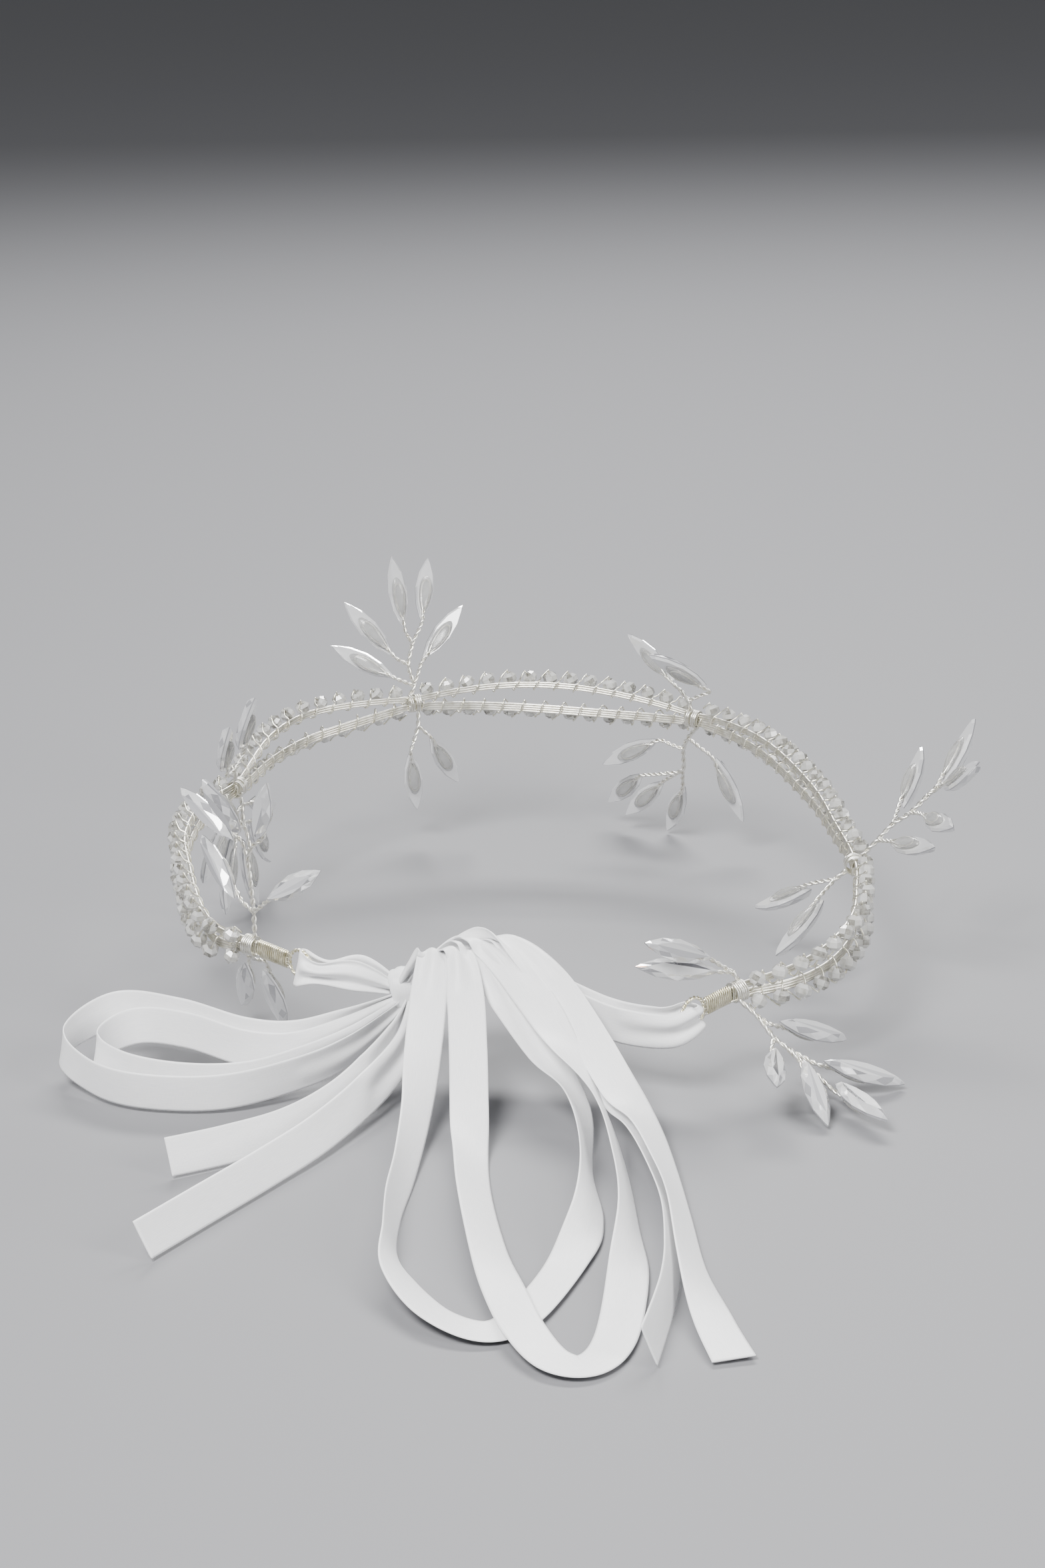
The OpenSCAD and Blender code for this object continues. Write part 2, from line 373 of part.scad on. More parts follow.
module bow_knot() { color("white") translate(KNOT) sphere(r = knot_r, $fn = 32); }

// ---------- the nodes ----------
translate(place) {
    upper_middle_wire();
    upper_side_wires();
    lower_middle_wire();
    lower_side_wires();
    upper_wrap_wire();
    lower_wrap_wire();
    upper_beads();
    lower_beads();
    left_ribbon_eye();
    right_ribbon_eye();
    for (i = [0:5], up = [1, -1]) let (name = str("sprig_", i + 1, up > 0 ? "_top_" : "_low_")) {
        branch_stem(i, up);
        branch_crystals(i, up);
        branch_pads(i, up);
    }
    ribbon_left_run();
    ribbon_right_run();
    bow_knot();
    bow_left_loop_outer();
    bow_left_loop_inner();
    bow_front_loop_left();
    bow_front_loop_right();
    tail_left_short();
    tail_left_long();
    tail_right_outer();
    tail_right_inner();
}
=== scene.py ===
import math

import bpy
import numpy as np
from mathutils import Matrix


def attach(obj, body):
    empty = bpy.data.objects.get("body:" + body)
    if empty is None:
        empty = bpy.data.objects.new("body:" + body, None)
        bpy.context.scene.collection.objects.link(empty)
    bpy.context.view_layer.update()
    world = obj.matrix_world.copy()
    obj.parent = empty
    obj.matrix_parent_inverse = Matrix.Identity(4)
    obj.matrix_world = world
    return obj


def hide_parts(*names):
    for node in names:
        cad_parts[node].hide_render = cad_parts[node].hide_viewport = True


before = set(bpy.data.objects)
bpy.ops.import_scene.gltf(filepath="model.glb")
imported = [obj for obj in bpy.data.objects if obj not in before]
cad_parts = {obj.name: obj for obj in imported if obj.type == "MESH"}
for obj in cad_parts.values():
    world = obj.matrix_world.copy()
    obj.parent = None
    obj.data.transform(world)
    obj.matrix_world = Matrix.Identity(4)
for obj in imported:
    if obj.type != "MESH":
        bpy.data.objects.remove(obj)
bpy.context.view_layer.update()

# The model's own lengths are millimetres before this shift, as in the CAD source
PLACE = np.array([-10.46, -2.3, 0.0])
scene = bpy.context.scene


def metres(p):
    return (np.asarray(p, float) + PLACE) / 1000


# ---------- camera, at the photograph's viewing angle ----------
PITCH, ROLL = math.radians(17.84), math.radians(-2.10)
LENS = 71.9082  # mm, with 36 mm along the longer side of the picture
STAND_AT = [1.8, -550.1, 212.8]
ahead = np.array([0, math.cos(PITCH), -math.sin(PITCH)])
level_up = np.array([0, math.sin(PITCH), math.cos(PITCH)])
cam_right = np.array([1, 0, 0]) * math.cos(ROLL) + level_up * math.sin(ROLL)
cam_up = -np.array([1, 0, 0]) * math.sin(ROLL) + level_up * math.cos(ROLL)
cam = bpy.data.objects.new("camera", bpy.data.cameras.new("camera"))
scene.collection.objects.link(cam)
cam.data.sensor_width = 36
cam.data.lens = LENS
spot = metres(STAND_AT)
rows = [[*(float(v[i]) for v in (cam_right, cam_up, -ahead)), float(spot[i])] for i in range(3)]
cam.matrix_world = Matrix(rows + [[0, 0, 0, 1]])
cam.data.clip_start, cam.data.clip_end = 0.01, 20
scene.camera = cam


# ---------- vectors and curves ----------
def unit(v):
    return v / np.linalg.norm(v)


def turned(n, t):
    return unit(n - np.dot(n, t) * t)


def smooth(points, steps):
    """Catmull-Rom curve through the points, with a number of steps to each stretch."""
    p = np.asarray(points, float)
    p = np.vstack([p[0], p, p[-1]])
    out = []
    for i in range(1, len(p) - 2):
        a, b, c, d = p[i - 1:i + 3]
        for k in range(steps):
            t = k / steps
            out.append(0.5 * (2 * b + (c - a) * t + (2 * a - 5 * b + 4 * c - d) * t ** 2
                              + (3 * b - a - 3 * c + d) * t ** 3))
    return np.array(out + [p[-1]])


def running(p):
    return np.concatenate([[0], np.cumsum(np.linalg.norm(np.diff(p, axis=0), axis=1))])


def headings(p):
    h = np.gradient(p, axis=0)
    return h / np.linalg.norm(h, axis=1)[:, None]


def carried_sides(p):
    """Headings, and a side vector for each point, carried along the line without twist."""
    t = headings(p)
    n = turned(np.array([0, 0, 1.0]) if abs(t[0][2]) < 0.9 else np.array([1.0, 0, 0]), t[0])
    out = []
    for h in t:
        n = turned(n, h)
        out.append(n)
    return t, np.array(out)


# ---------- the band's middle line, as in the CAD source ----------
BAND_H, BAND_SLOPE = 22, 0.125
CORE_D, CORE_PITCH, WRAP_D = 0.45, 0.47, 0.32
BEAD_D, BEAD_LEN, BEAD_HOLE, BEAD_MARGIN = 2.9, 2.3, 1.1, 3.2
LEAF_LEN, LEAF_W, LEAF_FRONT, LEAF_BACK = 15, 4, 1.3, 0.6
PAD_LEN, PAD_W, STEM_D, BIND_R = 8.5, 3.3, 0.8, 1.8
RIBBON_W, EYE_R = 6.4, 2.6
PLAN = [[-40, -38], [-47, -32], [-53, -28], [-57, -19], [-60, -5], [-62, 9], [-60, 23],
        [-54, 34], [-49, 50], [-43, 60], [-35, 66], [-20, 72], [-2, 74], [16, 70], [37, 59], [49, 45],
        [57, 22], [60, 5], [62, -9], [61, -22], [59, -33], [54, -43], [47, -50], [37, -55], [31, -60]]
BINDING_AT = [1, 7, 11, 14, 18, 23]
band_line = smooth([[x, y, BAND_H + BAND_SLOPE * y] for x, y in PLAN], 12)
band_run = running(band_line)
band_len = band_run[-1]
bindings = [band_run[i * 12] for i in BINDING_AT]


def at(s):
    return np.array([np.interp(s, band_run, band_line[:, k]) for k in range(3)])


def along(s):
    return unit(at(min(s + 0.6, band_len)) - at(max(s - 0.6, 0)))


def outward(s):
    return unit(np.cross([0, 0, 1], along(s)))


def upward(s):
    return np.cross(along(s), outward(s))


def on_band(s, u, v):
    return at(s) + u * outward(s) + v * upward(s)


SPLAY = [1.4, 2.0, 1.9, 1.0, 1.2]
STRAND_GAP = 0.71


def span_of(s):
    if s < bindings[0] or s > bindings[5]:
        return -1
    return max(k for k in range(5) if s >= bindings[k])


def strand_v(s):
    k = span_of(s)
    if k < 0:
        return STRAND_GAP
    return STRAND_GAP + SPLAY[k] * math.sin(math.pi * (s - bindings[k]) / (bindings[k + 1] - bindings[k]))


def gather(s):
    return max(min(1, max(0, (3 - abs(s - b)) / 1.4)) for b in bindings)


def upper_wire(s, j):
    return on_band(s, 0, strand_v(s) + (j - 1) * CORE_PITCH)


def lower_wire(s, j):
    g, v = gather(s), (1.5 - j) * CORE_PITCH
    if j < 3:
        return on_band(s, 0, -strand_v(s) + v - g * CORE_PITCH / 2)
    return on_band(s, g * CORE_PITCH, -strand_v(s) + v + g * CORE_PITCH / 2)


# ---------- mesh building ----------
class Build:
    """Collects closed tubes and lofts in millimetres and makes one mesh object of them."""

    def __init__(self):
        self.v, self.f, self.tone, self.uv = [], [], [], []
        self.count = 0

    def add(self, points, faces, tone=0.5, uv=None):
        self.v.append(np.asarray(points, float))
        self.f += [[i + self.count for i in face] for face in faces]
        self.tone += list(tone) if hasattr(tone, "__len__") else [tone] * len(faces)
        self.uv.append(np.zeros((len(points), 2)) if uv is None else np.asarray(uv, float))
        self.count += len(points)

    def rings(self, rings, tone=0.5, closed=False, uv=None):
        m, n = len(rings), len(rings[0])
        last = m if closed else m - 1
        faces = [[i * n + k, i * n + (k + 1) % n, (i + 1) % m * n + (k + 1) % n, (i + 1) % m * n + k]
                 for i in range(last) for k in range(n)]
        if not closed:
            faces += [list(range(n))[::-1], [(m - 1) * n + k for k in range(n)]]
        self.add(np.concatenate(rings), faces, tone, uv)

    def tube(self, p, r, n=8, tone=0.5, closed=False):
        p = np.asarray(p, float)
        r = np.broadcast_to(r, len(p))
        t, a = carried_sides(p)
        b = np.cross(t, a)
        if closed:
            # close the frame up by spreading the leftover twist
            end = turned(a[0], t[-1])
            left = math.atan2(np.dot(end, b[-1]), np.dot(end, a[-1]))
        ang = 2 * math.pi * np.arange(n) / n
        out = []
        for i in range(len(p)):
            w = ang + (left * i / len(p) if closed else 0)
            out.append(p[i] + r[i] * (np.cos(w)[:, None] * a[i] + np.sin(w)[:, None] * b[i]))
        self.rings(out, tone, closed=closed)

    def object(self, name, body, slot, material, flat=False, replaces=()):
        mesh = bpy.data.meshes.new(name)
        mesh.from_pydata([tuple(q) for q in metres(np.concatenate(self.v))], [], self.f)
        mesh.validate()
        # a per-face painted reflection value, read by the crystal and bead materials
        attribute = mesh.attributes.new("tone", "FLOAT", "CORNER")
        uvs = np.concatenate(self.uv)
        layer = mesh.uv_layers.new(name="along")
        loops = np.zeros(len(mesh.loops), np.float32)
        for i, poly in enumerate(mesh.polygons):
            loops[poly.loop_start:poly.loop_start + poly.loop_total] = self.tone[i]
        attribute.data.foreach_set("value", loops)
        index = np.zeros(len(mesh.loops), np.int64)
        mesh.loops.foreach_get("vertex_index", index)
        layer.data.foreach_set("uv", uvs[index].astype(np.float32).ravel())
        mesh.polygons.foreach_set("use_smooth", [not flat] * len(mesh.polygons))
        mesh.materials.append(material)
        obj = bpy.data.objects.new(name, mesh)
        scene.collection.objects.link(obj)
        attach(obj, body)
        if replaces:
            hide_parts(*replaces)
        return obj


# ---------- materials ----------
def material(name):
    m = bpy.data.materials.new(name)
    m.use_nodes = True
    nodes, links = m.node_tree.nodes, m.node_tree.links
    return m, nodes, links, nodes["Principled BSDF"]


def ramp(nodes, stops):
    r = nodes.new("ShaderNodeValToRGB")
    r.color_ramp.elements[0].position, r.color_ramp.elements[0].color = stops[0][0], (*stops[0][1], 1)
    r.color_ramp.elements[1].position, r.color_ramp.elements[1].color = stops[-1][0], (*stops[-1][1], 1)
    for place, colour in stops[1:-1]:
        r.color_ramp.elements.new(place).color = (*colour, 1)
    return r


def satin():
    m, nodes, links, bsdf = material("white_satin")
    bsdf.inputs["Roughness"].default_value = 0.42
    bsdf.inputs["Sheen Weight"].default_value = 0.25
    bsdf.inputs["Sheen Roughness"].default_value = 0.35
    bsdf.inputs["Anisotropic"].default_value = 0.4
    bsdf.inputs["Specular IOR Level"].default_value = 0.45
    bsdf.inputs["Subsurface Weight"].default_value = 0.12
    bsdf.inputs["Subsurface Radius"].default_value = (0.9, 0.9, 1.0)
    bsdf.inputs["Subsurface Scale"].default_value = 0.0006
    uv = nodes.new("ShaderNodeUVMap")
    uv.uv_map = "along"
    parts = nodes.new("ShaderNodeSeparateXYZ")
    links.new(uv.outputs["UV"], parts.inputs[0])
    # U runs across the ribbon in millimetres, V along it: fine threads, and a woven edge
    thread = nodes.new("ShaderNodeTexNoise")
    thread.inputs["Scale"].default_value = 1.0
    thread.inputs["Detail"].default_value = 3
    stretch = nodes.new("ShaderNodeMapping")
    stretch.inputs["Scale"].default_value = (9, 0.35, 1)
    links.new(uv.outputs["UV"], stretch.inputs["Vector"])
    links.new(stretch.outputs["Vector"], thread.inputs["Vector"])
    rib = nodes.new("ShaderNodeTexWave")
    rib.inputs["Scale"].default_value = 1.3
    rib.inputs["Distortion"].default_value = 0.6
    rib.bands_direction = "Y"
    links.new(uv.outputs["UV"], rib.inputs["Vector"])
    edge = nodes.new("ShaderNodeMath")
    edge.operation = "ABSOLUTE"
    links.new(parts.outputs["X"], edge.inputs[0])
    selvedge = nodes.new("ShaderNodeMapRange")
    selvedge.inputs["From Min"].default_value = 2.75
    selvedge.inputs["From Max"].default_value = 3.0
    links.new(edge.outputs[0], selvedge.inputs["Value"])
    height = nodes.new("ShaderNodeMath")
    height.operation = "MULTIPLY_ADD"
    height.inputs[1].default_value = 0.35
    links.new(rib.outputs["Fac"], height.inputs[0])
    links.new(thread.outputs["Fac"], height.inputs[2])
    with_edge = nodes.new("ShaderNodeMath")
    with_edge.operation = "MULTIPLY_ADD"
    with_edge.inputs[1].default_value = 1.4
    links.new(selvedge.outputs["Result"], with_edge.inputs[0])
    links.new(height.outputs[0], with_edge.inputs[2])
    bump = nodes.new("ShaderNodeBump")
    bump.inputs["Strength"].default_value = 0.22
    bump.inputs["Distance"].default_value = 0.00006
    links.new(with_edge.outputs[0], bump.inputs["Height"])
    links.new(bump.outputs["Normal"], bsdf.inputs["Normal"])
    colour = ramp(nodes, [(0.3, (0.88, 0.88, 0.89)), (0.7, (0.96, 0.96, 0.96))])
    links.new(thread.outputs["Fac"], colour.inputs["Fac"])
    links.new(colour.outputs["Color"], bsdf.inputs["Base Color"])
    return m


def wire(name, dark, light, rough, scale):
    m, nodes, links, bsdf = material(name)
    bsdf.inputs["Metallic"].default_value = 1.0
    where = nodes.new("ShaderNodeTexCoord")
    noise = nodes.new("ShaderNodeTexNoise")
    noise.inputs["Scale"].default_value = scale
    noise.inputs["Detail"].default_value = 4
    links.new(where.outputs["Object"], noise.inputs["Vector"])
    colour = ramp(nodes, [(0.32, dark), (0.62, light)])
    links.new(noise.outputs["Fac"], colour.inputs["Fac"])
    links.new(colour.outputs["Color"], bsdf.inputs["Base Color"])
    shine = nodes.new("ShaderNodeMapRange")
    shine.inputs["To Min"].default_value = rough - 0.07
    shine.inputs["To Max"].default_value = rough + 0.1
    links.new(noise.outputs["Fac"], shine.inputs["Value"])
    links.new(shine.outputs["Result"], bsdf.inputs["Roughness"])
    bump = nodes.new("ShaderNodeBump")
    bump.inputs["Strength"].default_value = 0.25
    bump.inputs["Distance"].default_value = 0.00005
    links.new(noise.outputs["Fac"], bump.inputs["Height"])
    links.new(bump.outputs["Normal"], bsdf.inputs["Normal"])
    return m


def crystal_glass():
    m, nodes, links, bsdf = material("crystal")
    tone = nodes.new("ShaderNodeAttribute")
    tone.attribute_name = "tone"
    # painted reflections: each facet's value picks near-black, grey or white, and the top of the ramp is a
    # painted orange glint
    colour = ramp(nodes, [(0.0, (0.035, 0.035, 0.04)), (0.16, (0.20, 0.20, 0.215)),
                          (0.42, (0.56, 0.56, 0.58)), (0.7, (0.88, 0.88, 0.90)),
                          (0.96, (1.0, 1.0, 1.0)), (1.0, (0.95, 0.42, 0.16))])
    links.new(tone.outputs["Fac"], colour.inputs["Fac"])
    links.new(colour.outputs["Color"], bsdf.inputs["Base Color"])
    bsdf.inputs["Metallic"].default_value = 0.12
    bsdf.inputs["Roughness"].default_value = 0.08
    bsdf.inputs["IOR"].default_value = 1.65
    bsdf.inputs["Transmission Weight"].default_value = 0.35
    bsdf.inputs["Coat Weight"].default_value = 0.9
    bsdf.inputs["Coat Roughness"].default_value = 0.03
    where = nodes.new("ShaderNodeTexCoord")
    noise = nodes.new("ShaderNodeTexNoise")
    noise.inputs["Scale"].default_value = 700
    links.new(where.outputs["Object"], noise.inputs["Vector"])
    bump = nodes.new("ShaderNodeBump")
    bump.inputs["Strength"].default_value = 0.06
    bump.inputs["Distance"].default_value = 0.0001
    links.new(noise.outputs["Fac"], bump.inputs["Height"])
    links.new(bump.outputs["Normal"], bsdf.inputs["Normal"])
    return m


def bead_glass():
    m, nodes, links, bsdf = material("bead_glass")
    tone = nodes.new("ShaderNodeAttribute")
    tone.attribute_name = "tone"
    # painted reflections: per-facet values run from dark rims to white highlights, and noise adds darker
    # patches
    colour = ramp(nodes, [(0.0, (0.10, 0.095, 0.08)), (0.3, (0.42, 0.41, 0.37)), (0.6, (0.86, 0.85, 0.81)),
                          (1.0, (1.0, 1.0, 0.985))])
    where = nodes.new("ShaderNodeTexCoord")
    noise = nodes.new("ShaderNodeTexNoise")
    noise.inputs["Scale"].default_value = 1400
    noise.inputs["Detail"].default_value = 3
    links.new(where.outputs["Object"], noise.inputs["Vector"])
    shade = nodes.new("ShaderNodeMath")
    shade.operation = "MULTIPLY_ADD"
    shade.inputs[1].default_value = 0.9
    shade.inputs[2].default_value = -0.42
    links.new(noise.outputs["Fac"], shade.inputs[0])
    total = nodes.new("ShaderNodeMath")
    total.operation = "ADD"
    links.new(shade.outputs[0], total.inputs[0])
    links.new(tone.outputs["Fac"], total.inputs[1])
    links.new(total.outputs[0], colour.inputs["Fac"])
    links.new(colour.outputs["Color"], bsdf.inputs["Base Color"])
    bsdf.inputs["Roughness"].default_value = 0.05
    bsdf.inputs["IOR"].default_value = 1.55
    bsdf.inputs["Transmission Weight"].default_value = 0.55
    bsdf.inputs["Coat Weight"].default_value = 0.8
    bsdf.inputs["Coat Roughness"].default_value = 0.03
    bump = nodes.new("ShaderNodeBump")
    bump.inputs["Strength"].default_value = 0.15
    bump.inputs["Distance"].default_value = 0.0001
    links.new(noise.outputs["Fac"], bump.inputs["Height"])
    links.new(bump.outputs["Normal"], bsdf.inputs["Normal"])
    return m


def clear(name, tint, rough, scale, bump_mm, transmission=0.85, ior=1.5):
    m, nodes, links, bsdf = material(name)
    bsdf.inputs["Roughness"].default_value = rough
    bsdf.inputs["IOR"].default_value = ior
    bsdf.inputs["Transmission Weight"].default_value = transmission
    where = nodes.new("ShaderNodeTexCoord")
    noise = nodes.new("ShaderNodeTexNoise")
    noise.inputs["Scale"].default_value = scale
    links.new(where.outputs["Object"], noise.inputs["Vector"])
    colour = ramp(nodes, [(0.3, tuple(c * 0.88 for c in tint)), (0.7, tint)])
    links.new(noise.outputs["Fac"], colour.inputs["Fac"])
    links.new(colour.outputs["Color"], bsdf.inputs["Base Color"])
    bump = nodes.new("ShaderNodeBump")
    bump.inputs["Strength"].default_value = 0.3
    bump.inputs["Distance"].default_value = bump_mm / 1000
    links.new(noise.outputs["Fac"], bump.inputs["Height"])
    links.new(bump.outputs["Normal"], bsdf.inputs["Normal"])
    return m


SATIN = satin()
CORE_METAL = wire("core_wire", (0.80, 0.77, 0.67), (0.99, 0.97, 0.90), 0.34, 900)
WRAP_METAL = wire("wrap_wire", (0.78, 0.74, 0.59), (1.0, 0.98, 0.88), 0.30, 1500)
STEM_METAL = wire("stem_wire", (0.82, 0.79, 0.70), (1.0, 0.99, 0.94), 0.34, 1200)
BIND_METAL = wire("binding_wire", (0.70, 0.65, 0.45), (1.0, 0.96, 0.78), 0.32, 800)
CRYSTAL = crystal_glass()
GLUE = clear("glue_pad", (0.93, 0.93, 0.92), 0.16, 500, 0.12, 0.8, 1.46)
BEAD = bead_glass()

# ---------- ribbons --------------------------
# A route point is [x, y, z, width factor, hint x, hint y, hint z], as in the CAD source
LEFT_RUN = [[-22, -41.6, 14, 0.35, 0, 0.3, 1], [-27.6, -40.4, 16, 0.8, 0, 0.2, 1],
    [-33, -39.6, 16.6, 0.35, 0, 0, 1], [-36.8, -38.4, 17, 0.7, 0, 0, 1], [-38, -39.8, 17, 0.95, 0.1, 0, 1],
    [-38.3, -41.8, 17, 1, 0.3, 0, 1], [-35, -43.2, 16.6, 0.55, 0.3, 0, 1],
    [-28.6, -43.4, 16, 0.8, -0.2, 0.2, 1], [-22.2, -43.4, 13.6, 0.35, 0, 0.2, 1]]
RIGHT_RUN = [[-16.4, -40.8, 13, 0.35, 0, 0, 1], [-6.8, -41.2, 15.4, 0.8, 0, 0, 1],
    [1.4, -45, 15.2, 0.9, 0, 0, 1], [8.4, -50, 13.2, 1, 0, 0, 1], [16, -55.6, 11.6, 1, 0, 0, 1],
    [23.2, -59.9, 12, 0.9, 0, 0, 1], [27.6, -60.4, 13.8, 0.6, 0, 0, 1], [28.9, -61.8, 14.3, 0.6, 0, 0, 1],
    [29.8, -63.4, 14, 0.7, 0, 0, 1], [25, -63.8, 11.8, 0.9, 0, 0, 1], [16.4, -59.1, 11.4, 1, 0, 0, 1],
    [8.6, -53.4, 13, 1, 0, 0, 1], [1.6, -48.4, 15, 0.9, 0, 0, 1], [-6.2, -44.4, 15, 0.8, 0, 0, 1],
    [-16.2, -42.9, 12.2, 0.35, 0, 0, 1]]
LOOP_OUTER = [[-22, -43.6, 11.4, 0.35, 0, 0.3, 1], [-30.1, -48.8, 9.2, 0.9, 0, 0.2, 1],
    [-38.8, -51, 7.8, 1, 0, 0.2, 1], [-47.6, -49.6, 8.2, 1, 0, 0.2, 1], [-59.3, -42.6, 9.4, 1, 0, 0.2, 1],
    [-71, -37.6, 9, 1, 0, 0.2, 1], [-79.6, -45.4, 6.2, 1, 0.2, 0, 1], [-74.4, -54.8, 4.2, 1, 0, 0, 1],
    [-65.4, -61.4, 3.7, 1, 0, 0, 1], [-51.2, -63.6, 3.7, 1, 0, 0, 1], [-38.5, -59.6, 4.8, 1, 0, -0.1, 1],
    [-29.6, -54.4, 6.6, 0.9, 0, 0, 1], [-20.8, -45, 10.6, 0.35, 0, 0.3, 1]]
LOOP_INNER = [[-21.6, -44.2, 11, 0.35, 0, 0.3, 1], [-29.6, -50.6, 8.4, 0.9, 0, 0.2, 1],
    [-38.6, -53.2, 6.6, 1, 0, 0.2, 1], [-47.4, -52, 6.8, 1, 0, 0.2, 1], [-58, -45.8, 8, 1, 0, 0.2, 1],
    [-67.4, -42.2, 7.6, 1, 0, 0.2, 1], [-73.6, -47.4, 5.8, 1, 0.2, 0, 1], [-68, -54.4, 4.8, 1, 0, 0, 1],
    [-58, -59.2, 4.4, 1, 0, 0, 1], [-47, -60.4, 4.6, 1, 0, 0, 1], [-37.4, -56.8, 5.6, 1, 0, 0, 1],
    [-29.4, -52.6, 7.4, 0.9, 0, 0.1, 1], [-21.2, -44.6, 10.8, 0.35, 0, 0.3, 1]]
FRONT_LEFT = [[-19.8, -44.6, 15, 0.35, 1, 0, -0.3], [-17.6, -46.6, 18.6, 0.5, 1, 0, -0.3],
    [-14.8, -48.4, 21.6, 0.8, 1, 0, 0], [-15.5, -55.4, 16, 1, 1, 0, 0],
    [-16.5, -66, 10.4, 1, 0.93, 0, -0.37], [-17.6, -76.6, 5, 1, 0.68, 0, -0.73],
    [-19.2, -94.2, 3.1, 1, 0.45, 0, -0.9], [-20.6, -108.5, 3.3, 1, 0.3, 0, -0.95],
    [-20.7, -121, 3.3, 1, 0.3, 0.1, -0.95], [-19.2, -130.8, 2.3, 1, 0.79, 0.22, -0.57],
    [-13.8, -141.5, 1.3, 1, 0.81, 0.52, -0.28], [-6.4, -146.4, 0.6, 1, -0.1, 1, 0],
    [-0.8, -141.6, 0.6, 1, -1, 0.6, 0], [6, -125, 0.6, 1, -1, 0.4, 0], [9.6, -111.6, 2.6, 1, -0.7, 0, 0.7],
    [9.7, -94.3, 3.4, 1, -0.3, 0, 0.95], [8.9, -76, 5.5, 1, -0.7, 0, 0.7], [3.6, -65, 9.9, 1, -1, 0.2, 0.2],
    [-1.7, -55.4, 15, 1, -1, 0.2, 0], [-6.6, -48.4, 20.2, 0.8, -1, 0.2, 0],
    [-10, -45.8, 21, 0.75, -0.95, 0.1, 0.3], [-14, -44.6, 18.4, 0.5, -0.8, 0.1, 0.6],
    [-17.6, -43.8, 15, 0.35, -0.5, 0, 0.8]]
FRONT_RIGHT = [[-18.4, -44.6, 14.9, 0.35, 1, 0, -0.3], [-15.2, -46.6, 18.8, 0.5, 1, 0, -0.3],
    [-10.4, -48.8, 21.6, 0.7, 1, 0, -0.2], [-9.2, -55.6, 16.4, 1, 1, 0, 0], [-8.9, -66, 10.6, 1, 1, 0, 0],
    [-8.9, -76, 5.4, 1, 1, 0, 0], [-8.8, -86.6, 2, 1, 0.88, 0, -0.45], [-8.1, -102.1, 2, 1, 0.85, 0, -0.5],
    [-5.9, -122.8, 1.9, 1, 0.9, 0.1, -0.35], [-3.6, -136, 1.6, 1, 1, 0.3, 0],
    [-0.8, -148, 1.6, 1, 0.9, 0.7, 0], [3.1, -156, 0.9, 1, 0.4, 1, 0], [8, -157.4, 0.6, 1, -0.4, 1, 0],
    [12, -150.4, 0.6, 1, -1, 0.5, 0], [14.6, -133, 1.3, 1, -0.95, 0.1, 0.25],
    [15.6, -116, 3.1, 1, -0.5, 0, 0.85], [15.1, -97, 3.3, 1, -0.4, 0, 0.9],
    [12.8, -82, 6.4, 1, -0.45, 0, 0.9], [7.5, -68, 11, 1, -0.85, 0.2, 0.45],
    [2.3, -57, 16.2, 1, -1, 0.2, 0], [-3.8, -47.4, 20.9, 0.9, -1, 0.2, 0.1],
    [-8.4, -44, 21.6, 0.75, -0.95, 0.1, 0.2], [-13.4, -43, 18.9, 0.5, -0.8, 0.1, 0.6],
    [-18, -42.4, 15.5, 0.35, -0.5, 0, 0.8]]
TAIL_SHORT = [[-19.6, -45.4, 11, 0.35, -0.4, 0.3, 0.85], [-21.2, -52.8, 8.2, 0.8, -0.4, 0.3, 0.85],
    [-25.7, -62, 5.7, 1, -0.4, 0.3, 0.85], [-31.5, -70.9, 4.2, 1, -0.4, 0.3, 0.85],
    [-39, -78.4, 3.4, 1, -0.4, 0.3, 0.85], [-48.4, -83.6, 3.1, 1, -0.4, 0.3, 0.85],
    [-57.4, -87.7, 3.1, 1, -0.4, 0.3, 0.85]]
TAIL_LONG = [[-19, -45.3, 10.9, 0.35, -0.2, 0.3, 0.85], [-20.2, -55.6, 7, 0.8, -0.4, 0.3, 0.85],
    [-26, -68.2, 4.6, 1, -0.4, 0.3, 0.85], [-33.3, -81.5, 3.6, 1, -0.4, 0.3, 0.85],
    [-41.2, -93.1, 3.2, 1, -0.4, 0.3, 0.85], [-50.7, -106.5, 3.1, 1, -0.4, 0.3, 0.85],
    [-58.5, -117.7, 3.1, 1, -0.4, 0.3, 0.85]]
TAIL_OUTER = [[-17.2, -41.8, 14.6, 0.35, -0.5, 0, 0.8], [-12, -41, 18.6, 0.5, -0.8, 0.1, 0.6],
    [-5.6, -42.2, 21.6, 0.75, -0.95, 0.1, 0.2], [-1, -46, 21.9, 0.8, -1, 0.2, 0.2],
    [5.6, -54, 17.4, 1, -1, 0.2, 0], [11.2, -64, 11.8, 1, -1, 0.2, 0], [16, -76, 7, 1, -1, 0.1, 0],
    [19.8, -86, 4.9, 1, -0.85, 0, 0.5], [22, -98.8, 3.7, 1, -0.7, 0, 0.7],
    [23.4, -112.4, 3.2, 1, -0.6, 0, 0.8], [24.3, -130.2, 2.6, 1, -0.7, 0.1, 0.68],
    [26.4, -146.2, 1.1, 1, -0.95, 0.3, 0.22], [28.5, -157, 0.5, 1, -1, 0.3, 0]]
